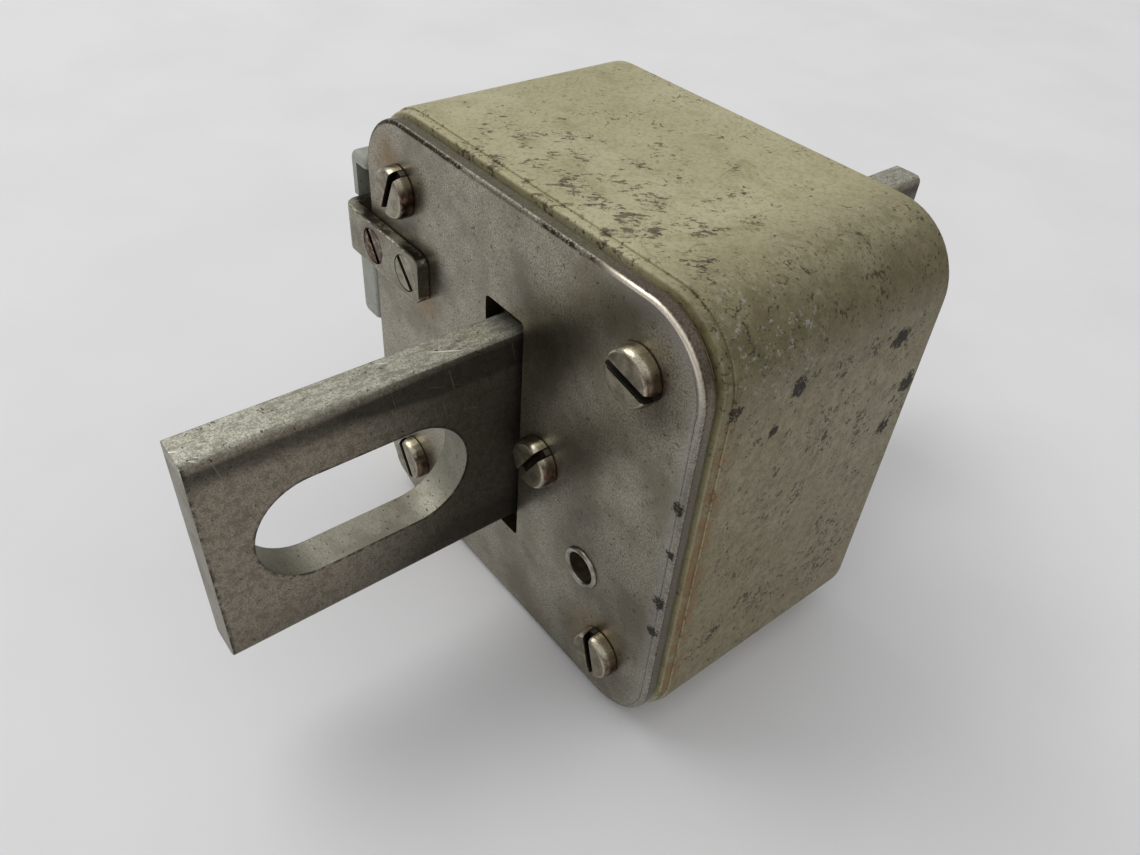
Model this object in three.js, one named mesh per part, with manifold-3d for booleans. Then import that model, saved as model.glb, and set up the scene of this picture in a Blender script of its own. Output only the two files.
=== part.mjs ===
// A square-body cartridge fuse for busbar mounting, with a trip indicator on one side.
// Millimetres. +X across the flat blades, +Y along the fuse, +Z up.
// The origin is the middle of the flat side of the ceramic body that the fuse stands on.

import * as THREE from 'three';
import { mergeVertices } from 'three/addons/utils/BufferGeometryUtils.js';
import Module from 'manifold-3d';

const wasm = await Module();
wasm.setup();

// ---- Driving dimensions ----

const BODY_SIZE = 76; // outside of the square ceramic body
const BODY_CORNER = 11; // radius of its four long edges
const BODY_EDGE = 0.4; // chamfer where a side meets an end face
const LIP_START = 19.7; // the front end steps in here, from the middle of the fuse
const LIP_STEP = 0.35;
const BORE_RADIUS = 30; // round chamber through the body
const PLATE_FACE = 24; // outer face of an end plate, from the middle of the fuse
const PLATE_SIZE = { front: 74.4, rear: 73.2 };
const PLATE_CORNER = 10.8;
const PLATE_THICKNESS = 2.4;
const PLATE_EDGE = 0.45; // chamfer round both faces of an end plate
const GASKET_THICKNESS = 0.4;
const SEAT_GAP = 0.1; // between flat faces that sit on each other
const FIT_GAP = 0.3; // round a piece that goes through a hole
const ROUND_SIDES = 32; // facets of the chamber and what fills it

const BLADE_TIP = 70.5; // end of a blade, from the middle of the fuse
const BLADE_WIDTH = 36;
const BLADE_THICKNESS = 6;
const BLADE_EDGE = 0.9; // rounding of a blade's long edges
const BOLT_SLOT_CENTRE = 48.4;
const BOLT_SLOT_LENGTH = 32;
const BOLT_SLOT_WIDTH = 17;
const BLADE_OPENING_WIDTH = 9; // slot in an end plate that its blade comes through
const BLADE_OPENING_HEIGHT = 41.6;

const CONTACT_WIDTH = 30; // copper block behind an end plate
const CONTACT_HEIGHT = 44;
const CONTACT_THICKNESS = 5;
const TENON_WIDTH = 28; // narrow inner end of a blade, set into that block

const CORNER_SCREW_OFFSET = 26.8;
const CONTACT_SCREW_OFFSET = 9.6;
const PAN_HEAD_RADIUS = 4;
const PAN_HEAD_HEIGHT = 2.4;
const PAN_FACE_RADIUS = 3.2;
const PAN_SHANK_RADIUS = 2;
const PAN_SLOT_WIDTH = 1.3;
const PAN_SLOT_DEPTH = 1.4;
const CORNER_SHANK_LENGTH = 14;
const CONTACT_SHANK_LENGTH = 6;

const EYELET_X = 20.7; // filling hole in the front plate
const EYELET_Z = -13.4;
const EYELET_FLANGE_RADIUS = 3.5;
const EYELET_OUTER_RADIUS = 2.8;
const EYELET_INNER_RADIUS = 2.2;

const ELEMENT_COUNT = 4;
const ELEMENT_SPACING = 6;
const ELEMENT_WIDTH = 36;
const ELEMENT_THICKNESS = 0.25;
const ELEMENT_FOOT = 3; // bent end that is welded to a contact block
const ELEMENT_HOLE_RADIUS = 3.2;
const ELEMENT_HOLE_ROWS = 3;
const ELEMENT_HOLES_PER_ROW = 4;

const BRACKET_THICKNESS = 2;
const BRACKET_LOW = 10.8; // heights above the middle of the fuse
const BRACKET_HIGH = 19;
const BRACKET_RIGHT = -19.6;
const BRACKET_LEFT = -42.8;
const BRACKET_BEND = 2.4; // outer radius of the bend
const BRACKET_LEG_END = 12.5; // how near the leg comes to the middle of the fuse
const BRACKET_SCREW_X = [-23.6, -33.4];
const BRACKET_SCREW_RADIUS = 2.9;
const BRACKET_SHANK_RADIUS = 1.5;

const HOUSING_LEFT = -43.8; // side housing of the trip indicator
const HOUSING_RIGHT = -38.3;
const HOUSING_LOW = -3.6;
const HOUSING_HIGH = 27;
const HOUSING_FACE = 23.5; // its end faces, from the middle of the fuse
const HOUSING_CORNER = 1.6;
const POCKET_LEFT = -41.8;
const NOTCH_LOW = 10.4; // cut right across each end of the housing for a bracket's leg
const NOTCH_HIGH = 19.4;
const POCKET_HIGH = 25.2; // the pocket above the notch keeps the outer wall
const POCKET_DEPTH = 13;

const STRIKER_RADIUS = 0.9;
const STRIKER_TOP = 27.8; // just proud of the housing while the fuse is whole
const STRIKER_FLANGE_RADIUS = 1.65;
const STRIKER_FLANGE_LOW = 15.2;
const STRIKER_FLANGE_HIGH = 16.2;
const STRIKER_BORE_RADIUS = 2;
const STRIKER_BORE_FLOOR = 3;
const TRIP_WIRE_HEIGHT = 17.9;
const TRIP_WIRE_RADIUS = 0.25;
const TRIP_WIRE_CHANNEL = 0.7;
const BUSH_LOW = 23.4; // stops the striker's flange after its travel
const BUSH_RIM_RADIUS = 2.5;
const BUSH_RIM_THICKNESS = 0.5;
const SPRING_TURNS = 6;
const SPRING_WIRE_RADIUS = 0.22;
const SPRING_RADIUS = 1.35;

// ---- Places worked out from them ----

const PLATE_BACK = PLATE_FACE - PLATE_THICKNESS;
const GASKET_FACE = PLATE_BACK - SEAT_GAP;
const GASKET_BACK = GASKET_FACE - GASKET_THICKNESS;
const BODY_FACE = GASKET_BACK - SEAT_GAP;
const CONTACT_FACE = PLATE_BACK - SEAT_GAP;
const CONTACT_BACK = CONTACT_FACE - CONTACT_THICKNESS;
const BRACKET_MIDDLE = (BRACKET_LOW + BRACKET_HIGH) / 2;
const HOUSING_MIDDLE_X = (HOUSING_LEFT + HOUSING_RIGHT) / 2;
const FRONT = -1; // the end of the fuse towards -Y
const REAR = 1;
const ENDS = [
  { name: 'front', side: FRONT },
  { name: 'rear', side: REAR },
];

// ---- Materials ----

function material(color, roughness, metalness) {
  return new THREE.MeshStandardMaterial({ color, roughness, metalness });
}

const glazedCeramic = material(0xb4ab8b, 0.45, 0);
const nickelPlate = material(0x8d8880, 0.45, 0.9);
const tarnishedCopper = material(0x75716a, 0.4, 0.9);
const bareCopper = material(0xb07a52, 0.4, 1);
const silver = material(0xd8d6d0, 0.3, 1);
const brightScrew = material(0xb3aea4, 0.28, 1);
const fibre = material(0x8a7c60, 0.9, 0);
const sand = material(0xc9bfa6, 1, 0);
const greyMoulding = material(0x8f938c, 0.5, 0);
const springSteel = material(0x8a8c90, 0.3, 1);
const brass = material(0xb49a58, 0.35, 1);

// ---- Solid geometry ----

function volumeOf(geometry) {
  const place = geometry.getAttribute('position');
  const index = geometry.getIndex();
  const corners = [new THREE.Vector3(), new THREE.Vector3(), new THREE.Vector3()];
  let volume = 0;
  for (let i = 0; i < index.count; i += 3) {
    corners.forEach((corner, k) => corner.fromBufferAttribute(place, index.getX(i + k)));
    volume += corners[0].dot(corners[1].cross(corners[2])) / 6;
  }
  return volume;
}

// One closed geometry with shared corners and its faces pointing out.
function closed(geometry) {
  const bare = geometry.clone();
  bare.deleteAttribute('normal');
  bare.deleteAttribute('uv');
  const merged = mergeVertices(bare, 1e-4);
  if (volumeOf(merged) < 0) {
    const index = Array.from(merged.getIndex().array).reverse();
    merged.setIndex(index);
  }
  return merged;
}

function solid(geometry) {
  const merged = closed(geometry);
  const mesh = new wasm.Mesh({
    numProp: 3,
    vertProperties: new Float32Array(merged.getAttribute('position').array),
    triVerts: new Uint32Array(merged.getIndex().array),
  });
  return new wasm.Manifold(mesh);
}

function geometryOf(manifold) {
  const mesh = manifold.getMesh();
  const geometry = new THREE.BufferGeometry();
  geometry.setAttribute('position', new THREE.BufferAttribute(mesh.vertProperties, 3));
  geometry.setIndex(new THREE.BufferAttribute(mesh.triVerts, 1));
  geometry.computeVertexNormals();
  return geometry;
}

function cut(geometry, tools) {
  return geometryOf(tools.reduce((left, tool) => left.subtract(solid(tool)), solid(geometry)));
}

function join(geometries) {
  const [first, ...rest] = geometries.map(solid);
  return geometryOf(rest.reduce((whole, next) => whole.add(next), first));
}

function box(x0, x1, y0, y1, z0, z1) {
  const geometry = new THREE.BoxGeometry(Math.abs(x1 - x0), Math.abs(y1 - y0), Math.abs(z1 - z0));
  return geometry.translate((x0 + x1) / 2, (y0 + y1) / 2, (z0 + z1) / 2);
}

// A round bar along Y.
function rod(radius, x, z, y0, y1, sides = 12) {
  const geometry = new THREE.CylinderGeometry(radius, radius, Math.abs(y1 - y0), sides);
  return geometry.translate(x, (y0 + y1) / 2, z);
}

// A round bar along Z.
function post(radius, x, y, z0, z1, sides = 12) {
  const geometry = new THREE.CylinderGeometry(radius, radius, z1 - z0, sides);
  return geometry.rotateX(Math.PI / 2).translate(x, y, (z0 + z1) / 2);
}

// Turned about Y from [radius, distance outwards] points, and moved to x, z on an end's face.
function turned(profile, side, x, z, sides) {
  const points = profile.map(([radius, out]) => new THREE.Vector2(radius, side * out));
  return new THREE.LatheGeometry(points, sides).translate(x, 0, z);
}

// Turned about Z from [radius, height] points.
function turnedUp(profile, x, sides) {
  const points = profile.map(([radius, height]) => new THREE.Vector2(radius, height));
  return new THREE.LatheGeometry(points, sides).rotateX(Math.PI / 2).translate(x, 0, 0);
}

function roundedRectangle(x0, x1, z0, z1, radius) {
  const shape = new THREE.Shape();
  const quarter = Math.PI / 2;
  shape.absarc(x1 - radius, z1 - radius, radius, 0, quarter);
  shape.absarc(x0 + radius, z1 - radius, radius, quarter, 2 * quarter);
  shape.absarc(x0 + radius, z0 + radius, radius, 2 * quarter, 3 * quarter);
  shape.absarc(x1 - radius, z0 + radius, radius, 3 * quarter, 4 * quarter);
  shape.closePath();
  return shape;
}

function roundedSquare(size, radius) {
  return roundedRectangle(-size / 2, size / 2, -size / 2, size / 2, radius);
}

// A shape drawn in X and Z, given thickness from y0 to y1.
function slab(shape, y0, y1, curveSegments = 6) {
  const low = Math.min(y0, y1);
  const high = Math.max(y0, y1);
  const options = { depth: high - low, bevelEnabled: false, curveSegments };
  return new THREE.ExtrudeGeometry(shape, options).rotateX(Math.PI / 2).translate(0, high, 0);
}

// The same, with the edges of both faces rounded or chamfered inside the outline.
function softSlab(shape, y0, y1, edge, bevelSegments, curveSegments = 6) {
  const low = Math.min(y0, y1);
  const high = Math.max(y0, y1);
  const options = {
    depth: high - low - 2 * edge,
    bevelEnabled: true,
    bevelThickness: edge,
    bevelSize: edge,
    bevelOffset: -edge,
    bevelSegments,
    curveSegments,
  };
  return new THREE.ExtrudeGeometry(shape, options).rotateX(Math.PI / 2).translate(0, high - edge, 0);
}

// ---- The four corners and the places shared by plates, gaskets and body ----

const CORNERS = [
  [-CORNER_SCREW_OFFSET, CORNER_SCREW_OFFSET],
  [CORNER_SCREW_OFFSET, CORNER_SCREW_OFFSET],
  [CORNER_SCREW_OFFSET, -CORNER_SCREW_OFFSET],
  [-CORNER_SCREW_OFFSET, -CORNER_SCREW_OFFSET],
];

function cornerHoles(y0, y1) {
  return CORNERS.map(([x, z]) => rod(PAN_SHANK_RADIUS + FIT_GAP, x, z, y0, y1));
}

// ---- Ceramic body, gaskets and end plates ----

function ceramicBody() {
  const main = softSlab(roundedSquare(BODY_SIZE, BODY_CORNER), -LIP_START, BODY_FACE, BODY_EDGE, 1);
  const lipShape = roundedSquare(BODY_SIZE - 2 * LIP_STEP, BODY_CORNER - LIP_STEP);
  const lip = softSlab(lipShape, -BODY_FACE, -LIP_START + 1, BODY_EDGE, 1);
  const outside = join([main, lip]);
  const reach = BODY_FACE + 1;
  return cut(outside, [rod(BORE_RADIUS, 0, 0, -reach, reach, ROUND_SIDES), ...cornerHoles(-reach, reach)]);
}

function gasket(side, size) {
  const sheet = slab(roundedSquare(size - 2, PLATE_CORNER - 1), side * GASKET_BACK, side * GASKET_FACE);
  const inner = side * (GASKET_BACK - 1);
  const outer = side * (GASKET_FACE + 1);
  return cut(sheet, [rod(BORE_RADIUS, 0, 0, inner, outer, ROUND_SIDES), ...cornerHoles(inner, outer)]);
}

function bladeOpening(inner, outer) {
  const shape = roundedRectangle(
    -BLADE_OPENING_WIDTH / 2,
    BLADE_OPENING_WIDTH / 2,
    -BLADE_OPENING_HEIGHT / 2,
    BLADE_OPENING_HEIGHT / 2,
    0.8,
  );
  return slab(shape, inner, outer, 2);
}

function endPlate(side, size) {
  const outline = roundedSquare(size, PLATE_CORNER);
  const sheet = softSlab(outline, side * PLATE_BACK, side * PLATE_FACE, PLATE_EDGE, 1);
  const inner = side * (PLATE_BACK - 1);
  const outer = side * (PLATE_FACE + 1);
  const holes = [bladeOpening(inner, outer), ...cornerHoles(inner, outer)];
  for (const x of [-CONTACT_SCREW_OFFSET, CONTACT_SCREW_OFFSET]) {
    holes.push(rod(PAN_SHANK_RADIUS + FIT_GAP, x, 0, inner, outer));
  }
  for (const x of BRACKET_SCREW_X) {
    holes.push(rod(BRACKET_SHANK_RADIUS + FIT_GAP, x, BRACKET_MIDDLE, inner, outer, 12));
  }
  if (side === FRONT) {
    holes.push(rod(EYELET_OUTER_RADIUS + FIT_GAP, EYELET_X, EYELET_Z, inner, outer));
  }
  return cut(sheet, holes);
}

// ---- Blades and the copper blocks that hold them ----

function boltSlot(side) {
  const reach = BLADE_THICKNESS;
  const straight = (BOLT_SLOT_LENGTH - BOLT_SLOT_WIDTH) / 2;
  const radius = BOLT_SLOT_WIDTH / 2;
  const shape = new THREE.Shape();
  shape.absarc(straight, 0, radius, -Math.PI / 2, Math.PI / 2);
  shape.absarc(-straight, 0, radius, Math.PI / 2, (3 * Math.PI) / 2);
  shape.closePath();
  const options = { depth: 2 * reach, bevelEnabled: false, curveSegments: 14 };
  const geometry = new THREE.ExtrudeGeometry(shape, options).translate(0, 0, -reach);
  // Turned so that the slot's length runs along Y and it goes through along X.
  return geometry.rotateX(Math.PI / 2).rotateZ(Math.PI / 2).translate(0, side * BOLT_SLOT_CENTRE, 0);
}

function blade(side) {
  const half = BLADE_THICKNESS / 2;
  const shoulder = side * (CONTACT_FACE + SEAT_GAP);
  const section = roundedRectangle(-half, half, -BLADE_WIDTH / 2, BLADE_WIDTH / 2, BLADE_EDGE);
  const bar = slab(section, shoulder, side * BLADE_TIP, 3);
  const tenonEnd = side * CONTACT_BACK;
  const tenon = box(-half, half, tenonEnd, shoulder + side, -TENON_WIDTH / 2, TENON_WIDTH / 2);
  return cut(join([bar, tenon]), [boltSlot(side)]);
}

function contactBlock(side) {
  const block = box(
    -CONTACT_WIDTH / 2,
    CONTACT_WIDTH / 2,
    side * CONTACT_BACK,
    side * CONTACT_FACE,
    -CONTACT_HEIGHT / 2,
    CONTACT_HEIGHT / 2,
  );
  const inner = side * (CONTACT_BACK - 1);
  const outer = side * (CONTACT_FACE + 1);
  const halfWidth = BLADE_THICKNESS / 2 + FIT_GAP;
  const halfHeight = TENON_WIDTH / 2 + FIT_GAP;
  const holes = [box(-halfWidth, halfWidth, inner, outer, -halfHeight, halfHeight)];
  for (const x of [-CONTACT_SCREW_OFFSET, CONTACT_SCREW_OFFSET]) {
    holes.push(rod(PAN_SHANK_RADIUS + FIT_GAP, x, 0, inner, outer));
  }
  return cut(block, holes);
}

// ---- Screws ----

function slotCutter(side, x, z, face, depth, width, length, turn) {
  const cutter = new THREE.BoxGeometry(length, 2 * depth, width);
  return cutter.rotateY(turn).translate(x, side * face, z);
}

// A slotted pan head on the plate, with its shank going into the fuse.
function panScrew(side, x, z, shankLength, turn) {
  const base = PLATE_FACE + SEAT_GAP / 2;
  const top = base + PAN_HEAD_HEIGHT;
  const tip = base - shankLength;
  const profile = [
    [0, tip],
    [PAN_SHANK_RADIUS - 0.7, tip],
    [PAN_SHANK_RADIUS, tip + 0.8],
    [PAN_SHANK_RADIUS, base],
    [PAN_HEAD_RADIUS, base],
    [PAN_HEAD_RADIUS, base + 0.7],
    [PAN_HEAD_RADIUS - 0.2, base + 1.6],
    [PAN_FACE_RADIUS + 0.4, top - 0.2],
    [PAN_FACE_RADIUS, top],
    [0, top],
  ];
  const length = 2 * PAN_HEAD_RADIUS + 1;
  const slot = slotCutter(side, x, z, top, PAN_SLOT_DEPTH, PAN_SLOT_WIDTH, length, turn);
  return cut(turned(profile, side, x, z, 16), [slot]);
}

// A countersunk screw, flush with the bracket's face.
function flushScrew(side, x, turn) {
  const face = PLATE_FACE + SEAT_GAP / 2 + BRACKET_THICKNESS;
  const profile = [
    [0, PLATE_BACK],
    [BRACKET_SHANK_RADIUS, PLATE_BACK],
    [BRACKET_SHANK_RADIUS, face - 1.5],
    [BRACKET_SCREW_RADIUS, face - 0.2],
    [BRACKET_SCREW_RADIUS, face],
    [0, face],
  ];
  const slot = slotCutter(side, x, BRACKET_MIDDLE, face, 0.7, 0.8, 2 * BRACKET_SCREW_RADIUS + 1, turn);
  return cut(turned(profile, side, x, BRACKET_MIDDLE, 14), [slot]);
}

// ---- Filling hole ----

function fillEyelet() {
  const flange = PLATE_FACE + SEAT_GAP / 2;
  const profile = [
    [EYELET_INNER_RADIUS, PLATE_BACK],
    [EYELET_OUTER_RADIUS, PLATE_BACK],
    [EYELET_OUTER_RADIUS, flange],
    [EYELET_FLANGE_RADIUS, flange],
    [EYELET_FLANGE_RADIUS, flange + 0.2],
    [EYELET_FLANGE_RADIUS - 0.5, flange + 0.45],
    [EYELET_INNER_RADIUS + 0.3, flange + 0.45],
    [EYELET_INNER_RADIUS, flange + 0.2],
    [EYELET_INNER_RADIUS, PLATE_BACK],
  ];
  return turned(profile, FRONT, EYELET_X, EYELET_Z, 20);
}

function fillPlug() {
  const inner = -(PLATE_BACK - SEAT_GAP);
  return rod(EYELET_OUTER_RADIUS + 0.6, EYELET_X, EYELET_Z, inner + 1.2, inner, 20);
}

// ---- Fuse elements and sand ----

function elementPlaces() {
  const first = (-(ELEMENT_COUNT - 1) * ELEMENT_SPACING) / 2;
  return Array.from({ length: ELEMENT_COUNT }, (_, i) => first + i * ELEMENT_SPACING);
}

// A silver strip with rows of holes, and a bent foot against each contact block.
function fuseElement(x) {
  const reach = CONTACT_BACK - SEAT_GAP;
  const half = ELEMENT_WIDTH / 2;
  const strip = box(x, x + ELEMENT_THICKNESS, -reach, reach, -half, half);
  const feet = ENDS.map(({ side }) =>
    box(x, x + ELEMENT_FOOT, side * (reach - ELEMENT_THICKNESS), side * reach, -half, half),
  );
  const rowStep = (2 * reach) / (ELEMENT_HOLE_ROWS + 1);
  const holeStep = ELEMENT_WIDTH / ELEMENT_HOLES_PER_ROW;
  const holes = [];
  for (let row = 1; row <= ELEMENT_HOLE_ROWS; row += 1) {
    for (let i = 0; i < ELEMENT_HOLES_PER_ROW; i += 1) {
      const hole = new THREE.CylinderGeometry(ELEMENT_HOLE_RADIUS, ELEMENT_HOLE_RADIUS, 2, 6);
      hole.rotateZ(Math.PI / 2).translate(x, row * rowStep - reach, (i + 0.5) * holeStep - half);
      holes.push(hole);
    }
  }
  return cut(join([strip, ...feet]), holes);
}

function sandFill() {
  const radius = BORE_RADIUS - FIT_GAP;
  const reach = PLATE_BACK - SEAT_GAP;
  const filling = rod(radius, 0, 0, -reach, reach, ROUND_SIDES);
  const spaces = ENDS.map(({ side }) =>
    box(
      -CONTACT_WIDTH / 2 - FIT_GAP,
      CONTACT_WIDTH / 2 + FIT_GAP,
      side * (CONTACT_BACK - ELEMENT_THICKNESS - 2 * FIT_GAP),
      side * (reach + 1),
      -CONTACT_HEIGHT / 2 - FIT_GAP,
      CONTACT_HEIGHT / 2 + FIT_GAP,
    ),
  );
  for (const x of elementPlaces()) {
    const halfHeight = ELEMENT_WIDTH / 2 + FIT_GAP;
    const right = x + ELEMENT_THICKNESS + FIT_GAP;
    spaces.push(box(x - FIT_GAP, right, -CONTACT_BACK, CONTACT_BACK, -halfHeight, halfHeight));
  }
  const plugRadius = EYELET_OUTER_RADIUS + 0.6 + FIT_GAP;
  spaces.push(rod(plugRadius, EYELET_X, EYELET_Z, -reach - 1, -reach + 1.2 + FIT_GAP, 20));
  return cut(filling, spaces);
}

// ---- Trip indicator on the side ----

function bracket(side) {
  const near = side * (PLATE_FACE + SEAT_GAP / 2);
  const far = near + side * BRACKET_THICKNESS;
  const legEnd = side * BRACKET_LEG_END;
  const innerLeft = BRACKET_LEFT + BRACKET_THICKNESS;
  const innerBend = BRACKET_BEND - BRACKET_THICKNESS;
  const shape = new THREE.Shape();
  shape.moveTo(BRACKET_RIGHT, near);
  shape.lineTo(BRACKET_RIGHT, far);
  shape.lineTo(BRACKET_LEFT + BRACKET_BEND, far);
  shape.quadraticCurveTo(BRACKET_LEFT, far, BRACKET_LEFT, far - side * BRACKET_BEND);
  shape.lineTo(BRACKET_LEFT, legEnd);
  shape.lineTo(innerLeft, legEnd);
  shape.lineTo(innerLeft, near - side * innerBend);
  shape.lineTo(innerLeft + innerBend, near);
  shape.closePath();
  const options = { depth: BRACKET_HIGH - BRACKET_LOW, bevelEnabled: false, curveSegments: 5 };
  const bent = new THREE.ExtrudeGeometry(shape, options).translate(0, 0, BRACKET_LOW);
  const face = PLATE_FACE + SEAT_GAP / 2 + BRACKET_THICKNESS;
  const holes = BRACKET_SCREW_X.map((x) =>
    turned(
      [
        [0, PLATE_FACE - 1],
        [BRACKET_SHANK_RADIUS + FIT_GAP, PLATE_FACE - 1],
        [BRACKET_SHANK_RADIUS + FIT_GAP, face - 1.6],
        [BRACKET_SCREW_RADIUS + FIT_GAP / 2, face - 0.3],
        [BRACKET_SCREW_RADIUS + FIT_GAP / 2, face + 1],
        [0, face + 1],
      ],
      side,
      x,
      BRACKET_MIDDLE,
      14,
    ),
  );
  return cut(bent, holes);
}

function indicatorHousing() {
  const shape = roundedRectangle(HOUSING_LEFT, HOUSING_RIGHT, HOUSING_LOW, HOUSING_HIGH, HOUSING_CORNER);
  const block = slab(shape, -HOUSING_FACE, HOUSING_FACE, 5);
  const spaces = [];
  for (const { side } of ENDS) {
    const inner = side * (HOUSING_FACE - POCKET_DEPTH);
    const outer = side * (HOUSING_FACE + 1);
    spaces.push(box(HOUSING_LEFT - 1, HOUSING_RIGHT + 1, inner, outer, NOTCH_LOW, NOTCH_HIGH));
    spaces.push(box(POCKET_LEFT, HOUSING_RIGHT + 1, inner, outer, NOTCH_HIGH - 1, POCKET_HIGH));
  }
  const pocketEnd = HOUSING_FACE - POCKET_DEPTH + 1;
  spaces.push(rod(TRIP_WIRE_CHANNEL, HOUSING_MIDDLE_X, TRIP_WIRE_HEIGHT, -pocketEnd, pocketEnd, 10));
  spaces.push(post(STRIKER_BORE_RADIUS, HOUSING_MIDDLE_X, 0, STRIKER_BORE_FLOOR, HOUSING_HIGH + 1));
  return cut(block, spaces);
}

function strikerBush() {
  const inner = STRIKER_RADIUS + FIT_GAP;
  const outer = STRIKER_BORE_RADIUS - FIT_GAP / 2;
  const rim = HOUSING_HIGH + SEAT_GAP;
  const profile = [
    [inner, BUSH_LOW],
    [outer, BUSH_LOW],
    [outer, rim],
    [BUSH_RIM_RADIUS, rim],
    [BUSH_RIM_RADIUS, rim + BUSH_RIM_THICKNESS],
    [inner, rim + BUSH_RIM_THICKNESS],
    [inner, BUSH_LOW],
  ];
  return turnedUp(profile, HOUSING_MIDDLE_X, 16);
}

function striker() {
  const profile = [
    [0, STRIKER_FLANGE_LOW],
    [STRIKER_FLANGE_RADIUS, STRIKER_FLANGE_LOW],
    [STRIKER_FLANGE_RADIUS, STRIKER_FLANGE_HIGH],
    [STRIKER_RADIUS, STRIKER_FLANGE_HIGH],
    [STRIKER_RADIUS, STRIKER_TOP - 0.3],
    [STRIKER_RADIUS - 0.3, STRIKER_TOP],
    [0, STRIKER_TOP],
  ];
  const eye = rod(TRIP_WIRE_RADIUS + 0.2, HOUSING_MIDDLE_X, TRIP_WIRE_HEIGHT, -2, 2, 8);
  return cut(turnedUp(profile, HOUSING_MIDDLE_X, 16), [eye]);
}

class Helix extends THREE.Curve {
  constructor(radius, x, z0, z1, turns) {
    super();
    Object.assign(this, { radius, x, z0, z1, turns });
  }

  getPoint(t, target = new THREE.Vector3()) {
    const angle = 2 * Math.PI * this.turns * t;
    const height = this.z0 + (this.z1 - this.z0) * t;
    return target.set(this.x + this.radius * Math.cos(angle), this.radius * Math.sin(angle), height);
  }
}

function ringShape(radius, sides) {
  const points = Array.from({ length: sides }, (_, i) => {
    const angle = (2 * Math.PI * i) / sides;
    return new THREE.Vector2(radius * Math.cos(angle), radius * Math.sin(angle));
  });
  return new THREE.Shape(points);
}

function indicatorSpring() {
  const low = STRIKER_BORE_FLOOR + SPRING_WIRE_RADIUS + SEAT_GAP;
  const high = STRIKER_FLANGE_LOW - SPRING_WIRE_RADIUS - SEAT_GAP;
  const path = new Helix(SPRING_RADIUS, HOUSING_MIDDLE_X, low, high, SPRING_TURNS);
  const options = { steps: SPRING_TURNS * 8, bevelEnabled: false, extrudePath: path };
  return new THREE.ExtrudeGeometry(ringShape(SPRING_WIRE_RADIUS, 5), options);
}

function tripWire() {
  const reach = BRACKET_LEG_END - SEAT_GAP;
  return rod(TRIP_WIRE_RADIUS, HOUSING_MIDDLE_X, TRIP_WIRE_HEIGHT, -reach, reach, 8);
}

// ---- Assembly ----

const fuse = new THREE.Group();
fuse.position.z = BODY_SIZE / 2;

function add(name, geometry, look) {
  const mesh = new THREE.Mesh(closed(geometry), look);
  mesh.name = name;
  fuse.add(mesh);
}

// Where each screw slot came to rest, in degrees from level.
const CORNER_SLOT_TURNS = { front: [65, -12, 107, 119], rear: [15, 100, 40, 130] };
const CONTACT_SLOT_TURNS = { front: [20, 57], rear: [75, -20] };
const BRACKET_SLOT_TURNS = { front: [-50, -57], rear: [30, -15] };

function addEnd({ name, side }) {
  add(`${name}_end_plate`, endPlate(side, PLATE_SIZE[name]), nickelPlate);
  add(`${name}_gasket`, gasket(side, PLATE_SIZE[name]), fibre);
  add(`${name}_blade`, blade(side), tarnishedCopper);
  add(`${name}_contact_block`, contactBlock(side), bareCopper);
  CORNERS.forEach(([x, z], i) => {
    const turn = THREE.MathUtils.degToRad(-CORNER_SLOT_TURNS[name][i]);
    add(`${name}_corner_screw_${i + 1}`, panScrew(side, x, z, CORNER_SHANK_LENGTH, turn), brightScrew);
  });
  [-CONTACT_SCREW_OFFSET, CONTACT_SCREW_OFFSET].forEach((x, i) => {
    const turn = THREE.MathUtils.degToRad(-CONTACT_SLOT_TURNS[name][i]);
    add(`${name}_contact_screw_${i + 1}`, panScrew(side, x, 0, CONTACT_SHANK_LENGTH, turn), brightScrew);
  });
  add(`${name}_indicator_bracket`, bracket(side), nickelPlate);
  BRACKET_SCREW_X.forEach((x, i) => {
    const turn = THREE.MathUtils.degToRad(-BRACKET_SLOT_TURNS[name][i]);
    add(`${name}_bracket_screw_${i + 1}`, flushScrew(side, x, turn), brightScrew);
  });
}

add('ceramic_body', ceramicBody(), glazedCeramic);
ENDS.forEach(addEnd);
add('fill_eyelet', fillEyelet(), nickelPlate);
add('fill_plug', fillPlug(), fibre);
elementPlaces().forEach((x, i) => add(`fuse_element_${i + 1}`, fuseElement(x), silver));
add('quartz_sand_fill', sandFill(), sand);
add('indicator_housing', indicatorHousing(), greyMoulding);
add('striker_bush', strikerBush(), brass);
add('indicator_striker', striker(), brass);
add('indicator_spring', indicatorSpring(), springSteel);
add('trip_wire', tripWire(), springSteel);

export default fuse;
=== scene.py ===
from functools import reduce
from math import cos, pi, radians, sin, sqrt

import bmesh
import bpy
from mathutils import Matrix, Quaternion, Vector


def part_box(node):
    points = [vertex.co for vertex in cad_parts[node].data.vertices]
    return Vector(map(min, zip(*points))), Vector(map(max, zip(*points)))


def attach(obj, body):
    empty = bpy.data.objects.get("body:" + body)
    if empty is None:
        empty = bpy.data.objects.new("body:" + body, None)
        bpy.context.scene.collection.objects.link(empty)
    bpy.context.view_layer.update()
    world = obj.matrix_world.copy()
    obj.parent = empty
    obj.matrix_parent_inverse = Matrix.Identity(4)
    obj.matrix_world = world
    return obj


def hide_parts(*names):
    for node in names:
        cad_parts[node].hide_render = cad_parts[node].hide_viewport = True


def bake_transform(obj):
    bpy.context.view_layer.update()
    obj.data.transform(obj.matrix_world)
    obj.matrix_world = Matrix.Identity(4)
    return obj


# A square-body cartridge fuse on a white table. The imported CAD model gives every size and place.
# Metres. +X across the blades, +Y along the fuse, +Z up. The front end is towards -Y.

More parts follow.
